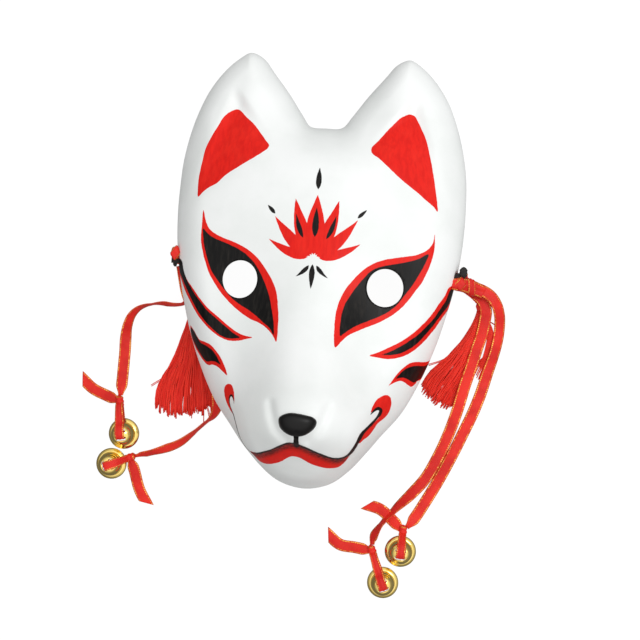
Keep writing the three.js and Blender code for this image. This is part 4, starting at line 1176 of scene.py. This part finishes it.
blackShapes = {
    "eyeLeft": [
        (-65, 20.2), (-61.7, 17.1), (-58, 14.8), (-52.9, 13), (-47.9, 11.2), (-42.9, 9.1), (-37.8, 6),
        (-33.4, 1.9), (-29.6, -3.3), (-26.4, -9.1), (-23.3, -15.7), (-21.3, -22.2), (-19.6, -28.7),
        (-18.5, -33.9), (-18.2, -38.2), (-21.1, -34.4), (-25, -31.7), (-29.5, -28.3), (-34.7, -25),
        (-40.6, -22), (-45.1, -18.9), (-49.7, -14.4), (-54.2, -9.3), (-58.1, -4.1), (-61, 2.5),
        (-63.3, 9.2), (-64.4, 14.6),
    ],
    "eyeRight": [
        (64.7, 13), (59.7, 10.1), (53.9, 7.9), (48, 6.3), (42.2, 5), (36.4, 3.1), (32.4, 0.7), (29.1, -3.3),
        (26.4, -6.8), (23.3, -11.8), (20.2, -17.3), (18.6, -22.7), (18.1, -27.4), (17.9, -32.7),
        (18.4, -36.3), (21.4, -34), (25.2, -31.1), (29.7, -28.7), (34.7, -26.4), (39.9, -23.7), (45, -20.4),
        (49.4, -15.9), (53.2, -10.3), (57, -4.7), (60.2, 1.5), (62.8, 7),
    ],
    "stripeLeft": [
        (-79.3, 2.3), (-76.5, -4.9), (-73, -11), (-68.9, -16.4), (-64.6, -21.3), (-59, -26.8),
        (-53.6, -30.8), (-48, -34.8), (-42.7, -38.5), (-38.3, -40.8), (-41.8, -41.6), (-46.1, -41.6),
        (-50.1, -40.5), (-54.6, -37.6), (-58.9, -34.2), (-63.4, -29.7), (-67.3, -24.8), (-71, -19.5),
        (-74.3, -14.5), (-79, -7.3), (-86, 1.2),
    ],
    "stripeRight": [
        (79, -5.7), (76.6, -12.4), (73.7, -17.1), (70.4, -22.8), (66.3, -27.6), (61.8, -32.7),
        (56.7, -36.8), (51, -40.7), (45.9, -43.7), (41.1, -45.5), (46.5, -45.3), (51.2, -44.4),
        (56.4, -41.9), (61, -38.4), (65.5, -33.1), (70.1, -27.1), (73.5, -22), (77.2, -16.9), (81, -10),
        (84, -4),
    ],
    "leafLeft": [
        (-70.5, -37), (-65.3, -42.8), (-62.7, -45.7), (-58.9, -47), (-54.8, -49.1), (-51.9, -52.3),
        (-50.2, -54.9), (-48.9, -57.1), (-51.8, -55.9), (-55, -55.5), (-58.4, -56.3), (-61.5, -54.2),
        (-64.7, -50.7), (-67.9, -46.7), (-71, -41.9),
    ],
    "leafRight": [
        (50.2, -58.6), (52.2, -56.3), (54.6, -53.7), (57.1, -52), (60.3, -51), (64.5, -50.9), (67.3, -50.8),
        (72, -47.6), (70.6, -51.5), (69.3, -54.5), (67.4, -57.8), (65.2, -58.3), (63.4, -59.3),
        (61.5, -60.8), (59.8, -60.3), (57.3, -58.7), (54.9, -57.8), (52.6, -58.1),
    ],
}
mouthStroke = [
    (-38.4, -77.5, 0.2), (-39, -75.2, 0.33), (-40.3, -73.3, 0.53), (-41.4, -74.1, 0.53),
    (-41.8, -76.4, 0.4), (-41.2, -79.2, 0.3), (-39.9, -82, 0.27), (-38.7, -83.9, 0.25),
    (-37.7, -86.7, 0.25), (-36.8, -89.7, 0.27), (-36, -92.7, 0.25), (-34.9, -97.1, 0.25),
    (-33.4, -101.1, 0.3), (-31.4, -103.9, 0.4), (-28.4, -105.1, 0.47), (-23.2, -104.1, 0.48),
    (-18.3, -102.1, 0.48), (-13, -99.4, 0.46), (-8.7, -96.7, 0.44), (-4.6, -94.9, 0.44),
    (-0.3, -95.3, 0.58), (3.4, -96.6, 0.7), (8.1, -99, 0.83), (12.5, -101.1, 0.83), (16.2, -102.8, 0.77),
    (19.9, -103.7, 0.65), (23.8, -103.4, 0.65), (26.9, -101.8, 0.85), (29.4, -98.5, 0.98),
    (31.8, -93.7, 0.91), (33.8, -89.4, 0.98), (36.1, -86.6, 0.86), (38.8, -83.8, 0.73), (41.2, -80.9, 0.73),
    (42.8, -78.3, 0.94), (43.2, -76.4, 1), (41.9, -75.3, 0.93), (39.7, -76.4, 0.6), (37.9, -78.4, 0.26),
]
# painted shade under the overhanging upper lip, with dry black brushed into it, under the mouth line: from
# and to across the face, and down from the line
lipShadeAndDryBlackBand = {"left": (-30, -26), "right": (24, 28), "top": (-0.5, 0.6), "bottom": (2.0, 5.5)}
philtrumStroke = [(-0.1, -88, 1.4), (-0.3, -92, 1.35), (-0.5, -96.1, 1.57)]
crest = {
    "base": (0.3, 6.0),
    # direction from upright, where it starts from the base, length, width, bend
    "petals": [
        (0, 2, 34, 12, 0), (30, 2, 33, 9.5, 6), (-30, 2, 33, 9.5, -6), (58, 2, 30, 8, 7),
        (-58, 2, 30, 8, -7), (84, 3, 24, 6, 7), (-84, 3, 24, 6, -7),
    ],
    "hearts": [(0, 12, 17, 4.2, 0), (30, 13, 14, 3, 2.5), (-30, 13, 14, 3, -2.5)],
    "drops": [
        (0, 39, 13, 3.6, 0), (180, 3.5, 14, 3.6, 0), (44, 33.5, 7, 2.4, 0), (-44, 33.5, 7, 2.4, 0),
        (152, 4.5, 9.5, 2.6, 3), (-152, 4.5, 9.5, 2.6, -3),
    ],
}


def petalOutline(spec):
    # A leaf that is widest below its middle and curls towards its tip
    lean, start, length, width, bend = spec
    lean = math.radians(lean)
    axis = np.array((math.sin(lean), math.cos(lean)))
    side = np.array((axis[1], -axis[0]))
    left, right = [], []
    for t in np.linspace(0, 1, 13):
        half = width / 2 * math.sin(math.pi * t**0.8) ** 0.9 * (1 - 0.25 * t)
        middle = np.array(crest["base"]) + axis * (start + length * t) - side * bend * t**2
        left.append(middle - side * half)
        right.append(middle + side * half)
    return np.array(left + right[-2:0:-1])


def insideDepth(x, y, polygon, reach):
    # Signed distance to a closed outline, positive inside, clipped to the reach
    depth = np.full(len(x), -reach)
    low, high = polygon.min(axis=0) - reach, polygon.max(axis=0) + reach
    near = np.where((x > low[0]) & (x < high[0]) & (y > low[1]) & (y < high[1]))[0]
    if not len(near):
        return depth
    px, py = x[near], y[near]
    distance = np.full(len(near), 1e9)
    crossings = np.zeros(len(near), bool)
    for a, b in zip(polygon, np.roll(polygon, -1, axis=0)):
        distance = np.minimum(distance, segmentDistance(px, py, a, b))
        spans = (a[1] > py) != (b[1] > py)
        with np.errstate(divide="ignore", invalid="ignore"):
            crossings ^= spans & (px < a[0] + (py - a[1]) / (b[1] - a[1]) * (b[0] - a[0]))
    depth[near] = np.clip(np.where(crossings, distance, -distance), -reach, reach)
    return depth


def strokeDepth(x, y, stroke, reach):
    line = catmullRom(stroke, False, 5)
    depth = np.full(len(x), -reach)
    low, high = line[:, :2].min(axis=0) - reach, line[:, :2].max(axis=0) + reach
    near = np.where((x > low[0]) & (x < high[0]) & (y > low[1]) & (y < high[1]))[0]
    best = np.full(len(near), -reach)
    for a, b in zip(line[:-1], line[1:]):
        best = np.maximum(best, (a[2] + b[2]) / 2 - segmentDistance(x[near], y[near], a, b))
    depth[near] = best
    return depth


def fieldOf(x, y, polygons):
    field = np.full(len(x), -paintReach)
    for polygon in polygons:
        field = np.maximum(field, insideDepth(x, y, polygon, paintReach))
    return field


def smoothOutlines(shapes):
    return [catmullRom(points, True, 3) for points in shapes.values()]


redOutlines = smoothOutlines(redShapes) + [petalOutline(p) for p in crest["petals"]]
blackOutlines = smoothOutlines(blackShapes) + [petalOutline(p) for p in crest["hearts"] + crest["drops"]]


def paintFields(x, y):
    red = fieldOf(x, y, redOutlines)
    black = fieldOf(x, y, blackOutlines)
    strokes = [strokeDepth(x, y, stroke, paintReach) for stroke in (mouthStroke, philtrumStroke)]
    strokes = np.maximum(*strokes)
    return red, np.maximum(black, strokes), strokes


def insetLine(outline, distance):
    along = np.roll(outline, -1, axis=0) - np.roll(outline, 1, axis=0)
    along /= np.linalg.norm(along, axis=1)[:, None]
    return outline + distance * np.column_stack([-along[:, 1], along[:, 0]])


def shellRings():
    sectors = shell["sectors"]
    outline = outlineLine(sectors // 48)
    hub = np.array((0, -0.04 * shell["halfHeight"]))
    rim = shell["rimLift"] * rimShape(outline[:, 1] / shell["halfHeight"])
    outer = []
    count = shell["outerRings"]
    for ring in range(count):
        s = ring / count
        share = 1 - s**2 * (1 + shell["crowding"]) / (s + shell["crowding"])
        xy = hub + (outline - hub) * share
        if ring == 0:
            outer.append(np.column_stack([xy, rim + shell["edgeRound"]]))
            continue
        inside = outlineDistance(xy[:, 0], xy[:, 1], fineOutline)
        z = np.maximum(shellHeight(xy[:, 0], xy[:, 1], inside), rim + shell["edgeRound"] + 0.02)
        outer.append(np.column_stack([xy, z]))
    edge = []
    for inset, lift in ((0.15, 0.4), (0.4, 0.15), (1, 0)):
        rounded = insetLine(outline, inset * shell["edgeRound"])
        edge.append(np.column_stack([rounded, rim + lift * shell["edgeRound"]]))
    innerLine = insetLine(outline, shell["wall"])
    innerFine = insetLine(fineOutline, shell["wall"])
    inner = []
    for ring in range(shell["innerRings"]):
        s = ring / shell["innerRings"]
        share = 1 - s**1.22
        xy = hub + (innerLine - hub) * share
        inside = outlineDistance(xy[:, 0], xy[:, 1], innerFine) if ring else np.zeros(sectors)
        drop = wallRise(xy[:, 0], xy[:, 1]) * np.sqrt(clamp01(inside / shell["earShoulder"]))
        inner.append(np.column_stack([xy, shellHeight(xy[:, 0], xy[:, 1], inside) - drop]))
    top = faceHeight(*hub)
    return outer[::-1], edge, inner, (hub[0], hub[1], top), (hub[0], hub[1], top - float(wallRise(*hub)))


def eyeCutter(mirror):
    cx, cy = mirror * shell["eyeAt"][0] * shell["halfWidth"], shell["eyeAt"][1] * shell["halfHeight"]
    angles = np.linspace(0, fullTurn, 72, endpoint=False)
    rounding = shell["holeRound"]
    bends = np.radians((0, 25, 50, 72))
    levels = [(0, None)] + [(rounding * (1 - math.cos(t)), rounding * (1 - math.sin(t))) for t in bends]
    rings = []
    for offset, drop in levels + [(rounding * 1.25, -0.4), (rounding * 1.25, -8)]:
        x = cx + (shell["eyeHole"][0] / 2 + offset) * np.cos(angles)
        y = cy + (shell["eyeHole"][1] / 2 + offset) * np.sin(angles)
        z = np.full(len(x), 10.0) if drop is None else faceHeight(x, y) - drop
        rings.append(np.column_stack([x, y, z]))
    return newPiece("eyeCutter", np.concatenate(rings), ringFaces(len(rings), len(angles)), shellPaint)


def strapCutter(mirror):
    bm = bmesh.new()
    radius = strapHole["radius"]
    bmesh.ops.create_cone(bm, cap_ends=True, segments=32, radius1=radius, radius2=radius, depth=16)
    place = Matrix.Translation((mirror * strapHole["x"], strapHole["y"], strapHole["z"]))
    return pieceFrom("strapCutter", bm, shellPaint, place @ Matrix.Rotation(math.pi / 2, 4, "Y"))


shellColours = {
    "white": "#e9ecea", "paleWhite": "#f1f3f2", "red": "#d8140a", "paleRed": "#e61c10", "thinRed": "#ee3020",
    "lipShadeAndDryBlack": "#4f1712", "black": "#050404", "dryBlack": "#24211e",
    # pattern sizes in millimetres: the broken edge of a brushed coat, its streaks and thin patches, the
    # sprayed ground with its peel, its clouds and its duller places
    "edgeFine": 1.43, "edgeCoarse": 6.25, "streak": 1.92, "patch": 11.1,
    "peel": 1.18, "cloud": 35.7, "dull": 22.2,
    "brushTurn": 0.5, "brushStretch": 0.16,
}


def makeShellPaint():
    # White vacuum-formed PVC sprayed satin white, painted by hand in red and black acrylic: an even soft
    # gloss with orange peel, and over it duller brushed coats with streaks and slightly broken edges
    material, tree, shader = newMaterial("paintedWhitePlastic")
    look = shellColours
    coords = addNode(tree, "ShaderNodeTexCoord", output="Object")
    fine = {"Vector": coords, "Scale": perMetre(look["edgeFine"]), "Detail": 3.0, "Roughness": 0.55}
    fine = addNode(tree, "ShaderNodeTexNoise", fine)
    fine = addNode(tree, "ShaderNodeMath", {0: fine, 1: 0.5}, operation="SUBTRACT")
    fine = addNode(tree, "ShaderNodeMath", {0: fine, 1: 0.35}, operation="MULTIPLY")
    coarse = {"Vector": coords, "Scale": perMetre(look["edgeCoarse"]), "Detail": 2.0, "Roughness": 0.55}
    coarse = addNode(tree, "ShaderNodeTexNoise", coarse)
    coarse = addNode(tree, "ShaderNodeMath", {0: coarse, 1: 0.5}, operation="SUBTRACT")
    ragged = addNode(tree, "ShaderNodeMath", {0: coarse, 1: 0.5, 2: fine}, operation="MULTIPLY_ADD")
    outer = addNode(tree, "ShaderNodeAttribute", output="Fac", attribute_name="outer")
    outer = addNode(tree, "ShaderNodeMapRange", {0: outer, 1: 0.4, 2: 0.6}, **smooth)
    coats = []
    for coat in ("redField", "blackField"):
        field = addNode(tree, "ShaderNodeAttribute", output="Fac", attribute_name=coat)
        field = addNode(tree, "ShaderNodeMath", {0: field, 1: ragged}, operation="ADD")
        field = addNode(tree, "ShaderNodeMapRange", {0: field, 1: -0.12, 2: 0.12}, **smooth)
        coats.append(addNode(tree, "ShaderNodeMath", {0: field, 1: outer}, operation="MULTIPLY"))
    red, black = coats

    clouds = {"Vector": coords, "Scale": perMetre(look["cloud"]), "Detail": 4.0, "Roughness": 0.55}
    clouds = addNode(tree, "ShaderNodeTexNoise", clouds)
    clouds = addNode(tree, "ShaderNodeMapRange", {0: clouds, 1: 0.3, 2: 0.7}, **smooth)
    white = {0: clouds, 6: linearColour(look["white"]), 7: linearColour(look["paleWhite"])}
    white = addNode(tree, "ShaderNodeMix", white, 2, data_type="RGBA")
    stretch, turn = (1.0, look["brushStretch"], 1.0), (0.0, 0.0, look["brushTurn"])
    brush = {"Vector": coords, "Rotation": turn, "Scale": stretch}
    brush = addNode(tree, "ShaderNodeMapping", brush)
    streaks = {"Vector": brush, "Scale": perMetre(look["streak"]), "Detail": 4.0, "Roughness": 0.6}
    streaks = addNode(tree, "ShaderNodeTexNoise", streaks)
    strokes = addNode(tree, "ShaderNodeMapRange", {0: streaks, 1: 0.34, 2: 0.66}, **smooth)
    redPaint = {0: strokes, 6: linearColour(look["red"]), 7: linearColour(look["paleRed"])}
    redPaint = addNode(tree, "ShaderNodeMix", redPaint, 2, data_type="RGBA")
    patches = {"Vector": coords, "Scale": perMetre(look["patch"]), "Detail": 3.0, "Roughness": 0.55}
    patches = addNode(tree, "ShaderNodeTexNoise", patches)
    patches = addNode(tree, "ShaderNodeMapRange", {0: patches, 1: 0.45, 2: 0.75, 4: 0.3}, **smooth)
    redPaint = {0: patches, 6: redPaint, 7: linearColour(look["thinRed"])}
    redPaint = addNode(tree, "ShaderNodeMix", redPaint, 2, data_type="RGBA")
    dryBrush = addNode(tree, "ShaderNodeMapRange", {0: streaks, 1: 0.3, 2: 0.62, 3: 0.45}, **smooth)
    # painted shade under the upper lip with dry black brushed in, broken up by the brush streaks
    lipShadeAndDryBlack = addNode(tree, "ShaderNodeAttribute", output="Fac", attribute_name="lipShadeAndDryBlack")
    lipShadeAndDryBlack = addNode(tree, "ShaderNodeMath", {0: lipShadeAndDryBlack, 1: dryBrush}, operation="MULTIPLY")
    redPaint = {0: lipShadeAndDryBlack, 6: redPaint, 7: linearColour(look["lipShadeAndDryBlack"])}
    redPaint = addNode(tree, "ShaderNodeMix", redPaint, 2, data_type="RGBA")
    thin = addNode(tree, "ShaderNodeMapRange", {0: streaks, 1: 0.4, 2: 0.8}, **smooth)
    blackPaint = {0: thin, 6: linearColour(look["black"]), 7: linearColour(look["dryBlack"])}
    blackPaint = addNode(tree, "ShaderNodeMix", blackPaint, 2, data_type="RGBA")
    colour = addNode(tree, "ShaderNodeMix", {0: red, 6: white, 7: redPaint}, 2, data_type="RGBA")
    colour = addNode(tree, "ShaderNodeMix", {0: black, 6: colour, 7: blackPaint}, 2, data_type="RGBA")

    painted = addNode(tree, "ShaderNodeMath", {0: red, 1: black}, operation="MAXIMUM")
    dull = {"Vector": coords, "Scale": perMetre(look["dull"]), "Detail": 3.0, "Roughness": 0.55}
    dull = addNode(tree, "ShaderNodeTexNoise", dull)
    plain = addNode(tree, "ShaderNodeMapRange", {0: dull, 1: 0.3, 2: 0.7, 3: 0.42, 4: 0.52}, **smooth)
    brushed = addNode(tree, "ShaderNodeMapRange", {0: streaks, 1: 0.35, 2: 0.7, 3: 0.34, 4: 0.5}, **smooth)
    rough = addNode(tree, "ShaderNodeMix", {0: painted, 2: plain, 3: brushed}, data_type="FLOAT")
    mirror = addNode(tree, "ShaderNodeMapRange", {0: painted, 3: 0.4, 4: 0.17}, **smooth)
    ridges = addNode(tree, "ShaderNodeMath", {0: streaks, 1: 0.8, 2: 0.7}, operation="MULTIPLY_ADD")
    ridges = addNode(tree, "ShaderNodeMath", {0: painted, 1: ridges}, operation="MULTIPLY")
    peel = {"Vector": coords, "Scale": perMetre(look["peel"]), "Detail": 2.0, "Roughness": 0.55}
    peel = addNode(tree, "ShaderNodeTexNoise", peel)
    relief = addNode(tree, "ShaderNodeMath", {0: peel, 1: 0.18, 2: ridges}, operation="MULTIPLY_ADD")
    bump = addNode(tree, "ShaderNodeBump", {"Strength": 0.5, "Distance": 0.06 * metres, "Height": relief})
    tree.links.new(colour, shader.inputs["Base Color"])
    tree.links.new(rough, shader.inputs["Roughness"])
    tree.links.new(mirror, shader.inputs["Specular IOR Level"])
    tree.links.new(bump, shader.inputs["Normal"])
    return material


shellPaint = makeShellPaint()


def makeShell():
    outer, edge, inner, outerHub, innerHub = shellRings()
    rings = outer + edge + inner
    sectors = shell["sectors"]
    points = np.concatenate(rings + [[outerHub], [innerHub]])
    last = (len(rings) - 1) * sectors
    faces = [tuple(reversed(f)) for f in ringFaces(len(rings), sectors, closeEnds=False)]
    hubIndex = len(rings) * sectors
    faces += [(hubIndex, k, (k + 1) % sectors) for k in range(sectors)]
    faces += [(hubIndex + 1, last + (k + 1) % sectors, last + k) for k in range(sectors)]
    piece = newPiece("maskShell", points, faces, shellPaint)
    print("shell base", len(points), "points")

    # finer facets along the painted edges and then the thin strokes, with their height from the relief again
    for finest in (False, True):
        bm = bmesh.new()
        bm.from_mesh(piece.data)
        co = np.array([v.co for v in bm.verts]) / metres
        red, black, strokes = paintFields(co[:, 0], co[:, 1])
        if finest:
            near = np.abs(strokes) < shell["strokeReach"]
        else:
            near = np.minimum(np.abs(red), np.abs(black)) < shell["coatReach"]
        inside = outlineDistance(co[:, 0], co[:, 1], fineOutline)
        near &= (inside > 2.0) & (co[:, 2] > shellHeight(co[:, 0], co[:, 1], inside) - 0.5)
        edges = [e for e in bm.edges if near[e.verts[0].index] and near[e.verts[1].index]]
        before = len(bm.verts)
        bmesh.ops.subdivide_edges(bm, edges=edges, cuts=1, use_grid_fill=True)
        bm.verts.ensure_lookup_table()
        fresh = [v for v in bm.verts if v.index < 0 or v.index >= before]
        xy = np.array([v.co[:2] for v in fresh]) / metres
        inside = outlineDistance(xy[:, 0], xy[:, 1], fineOutline)
        heights = shellHeight(xy[:, 0], xy[:, 1], inside)
        for vertex, height in zip(fresh, heights):
            vertex.co.z = height * metres
        bm.to_mesh(piece.data)
        bm.free()
    print("shell refined", len(piece.data.vertices), "points")
    for mirror in (-1, 1):
        cutPiece(piece, eyeCutter(mirror))
        cutPiece(piece, strapCutter(mirror))
    mesh = piece.data
    co = np.zeros(len(mesh.vertices) * 3)
    mesh.vertices.foreach_get("co", co)
    x, y, z = co.reshape(-1, 3).T / metres
    red, black = paintFields(x, y)[:2]
    # band of painted shade and dry black under the mouth line
    belowMouth = mouthLine(x) - y
    fade = easeStep(*lipShadeAndDryBlackBand["left"], x) * (1 - easeStep(*lipShadeAndDryBlackBand["right"], x))
    fade *= 1 - easeStep(*lipShadeAndDryBlackBand["bottom"], belowMouth)
    lipShadeAndDryBlack = easeStep(*lipShadeAndDryBlackBand["top"], belowMouth) * fade
    inside = outlineDistance(x, y, fineOutline)
    outer = easeStep(-2.0, -1.2, z - shellHeight(x, y, inside))
    for name, values in (("redField", red), ("blackField", black), ("lipShadeAndDryBlack", lipShadeAndDryBlack), ("outer", outer)):
        mesh.attributes.new(name, "FLOAT", "POINT").data.foreach_set("value", np.asarray(values, np.float32))
    mesh.shade_smooth()
    return placePiece(piece, "shell", "mask_shell")


makeShell()
print("shell made")

# Nose pad

nosePad = {
    "centre": (0.3, -83.6), "rise": 3.2, "black": "#070606", "paleBlack": "#141211", "grain": 2.0,
    "levels": (-16, 0, 14, 28, 42, 55, 66, 76, 84),  # degrees up its rounded side, from under the surface
    "outline": [
        (-10, -83.1), (-9.8, -80.9), (-7.6, -79), (-3.6, -77.7), (0.1, -77.8), (4.5, -78.4), (8.3, -79.4),
        (10.2, -81.2), (10.2, -83.5), (8.9, -85.9), (6.8, -87.9), (4.4, -89.4), (1.2, -90.3), (-1.9, -90.3),
        (-4.4, -89.6), (-7.2, -88.1), (-9.2, -85.9),
    ],
}


def makeNosePaint():
    # Black acrylic over the same plastic, a little glossier than the rest of the painting
    material, tree, shader = newMaterial("blackNosePaint")
    coords = addNode(tree, "ShaderNodeTexCoord", output="Object")
    grain = {"Vector": coords, "Scale": perMetre(nosePad["grain"]), "Detail": 4.0, "Roughness": 0.55}
    grain = addNode(tree, "ShaderNodeTexNoise", grain)
    colour = {0: grain, 6: linearColour(nosePad["black"]), 7: linearColour(nosePad["paleBlack"])}
    colour = addNode(tree, "ShaderNodeMix", colour, 2, data_type="RGBA")
    rough = addNode(tree, "ShaderNodeMapRange", {0: grain, 1: 0.3, 2: 0.7, 3: 0.34, 4: 0.46}, **smooth)
    bump = addNode(tree, "ShaderNodeBump", {"Strength": 0.3, "Distance": 0.06 * metres, "Height": grain})
    tree.links.new(colour, shader.inputs["Base Color"])
    tree.links.new(rough, shader.inputs["Roughness"])
    tree.links.new(bump, shader.inputs["Normal"])
    shader.inputs["Specular IOR Level"].default_value = 0.25
    return material


def makeNosePad():
    outline = catmullRom(nosePad["outline"], True, 6)[::-1]
    centre = np.array(nosePad["centre"])
    rings = []
    for angle in np.radians(nosePad["levels"]):
        share = math.cos(angle) ** 0.62 if angle > 0 else 0.99
        lift = math.sin(angle) ** 0.8 if angle > 0 else angle * 2
        xy = centre + (outline - centre) * share
        rings.append(np.column_stack([xy, faceHeight(xy[:, 0], xy[:, 1]) + nosePad["rise"] * lift]))
    faces = [tuple(reversed(f)) for f in ringFaces(len(rings), len(outline))]
    return newPiece("nosePad", np.concatenate(rings), faces, makeNosePaint())


placePiece(makeNosePad(), "shell")
print("nose made")

# Floor, light and view

studio = {
    "floorColour": "#5a5a5a", "floorGlow": 0.94, "floorReach": 1500,
    "key": (0.6, 0.18, 0.78), "farSide": (-0.6, 0.58), "nearSide": (0.95, 1.01),
    # how the walls darken towards the floor, for soft light and for reflections
    "soft": {1: -0.3, 2: 0.45, 3: 0.6, 4: 1.0}, "mirrored": {1: 0.0, 2: 0.75, 3: 0.3, 4: 1.2},
    "lamp": {"place": (0.6, 0.3, 1.05), "target": (0, 0, 0.03), "size": 0.5, "power": 3.5},
}


def makeFloor():
    # White acrylic sheet of a light table, lit from below: plain, bright and without reflections
    material, _, shader = newMaterial("whiteLightTable")
    shader.inputs["Base Color"].default_value = linearColour(studio["floorColour"])
    shader.inputs["Roughness"].default_value = 0.9
    shader.inputs["Emission Color"].default_value = linearColour("#ffffff")
    shader.inputs["Emission Strength"].default_value = studio["floorGlow"]
    bm = bmesh.new()
    bmesh.ops.create_grid(bm, x_segments=1, y_segments=1, size=studio["floorReach"])
    floor = pieceFrom("floor", bm, material)
    floor.visible_diffuse = False
    floor.visible_glossy = False


def makeWorld():
    world = bpy.data.worlds.new("studio")
    world.use_nodes = True
    tree = world.node_tree
    direction = addNode(tree, "ShaderNodeTexCoord", output="Generated")
    towardsKey = {0: direction, 1: studio["key"]}
    towardsKey = addNode(tree, "ShaderNodeVectorMath", towardsKey, "Value", operation="DOT_PRODUCT")
    (fromLow, toLow), (fromHigh, toHigh) = studio["farSide"], studio["nearSide"]
    lit = {0: towardsKey, 1: fromLow, 2: fromHigh, 3: toLow, 4: toHigh}
    lit = addNode(tree, "ShaderNodeMapRange", lit, **smooth)
    above = addNode(tree, "ShaderNodeSeparateXYZ", {0: direction}, "Z")
    reflected = addNode(tree, "ShaderNodeLightPath", output="Is Glossy Ray")
    soft = addNode(tree, "ShaderNodeMapRange", {0: above, **studio["soft"]}, **smooth)
    mirrored = addNode(tree, "ShaderNodeMapRange", {0: above, **studio["mirrored"]}, **smooth)
    fall = addNode(tree, "ShaderNodeMix", {0: reflected, 2: soft, 3: mirrored}, data_type="FLOAT")
    strength = addNode(tree, "ShaderNodeMath", {0: lit, 1: fall}, operation="MULTIPLY")
    background = tree.nodes["Background"]
    background.inputs["Color"].default_value = (1, 1, 1, 1)
    tree.links.new(strength, background.inputs["Strength"])
    bpy.context.scene.world = world


def makeLamp(place, target, size, power):
    data = bpy.data.lights.new("keyLamp", "AREA")
    data.shape, data.size, data.energy = "DISK", size, power
    lamp = bpy.data.objects.new("keyLamp", data)
    lamp.location = place
    lamp.rotation_euler = (Vector(target) - Vector(place)).to_track_quat("-Z", "Y").to_euler()
    bpy.context.scene.collection.objects.link(lamp)


makeFloor()
makeWorld()
makeLamp(**studio["lamp"])
scene = bpy.context.scene
scene.view_settings.view_transform = "Standard"
scene.view_settings.look = "None"
scene.cycles.use_denoising = True
scene.cycles.max_bounces = 8
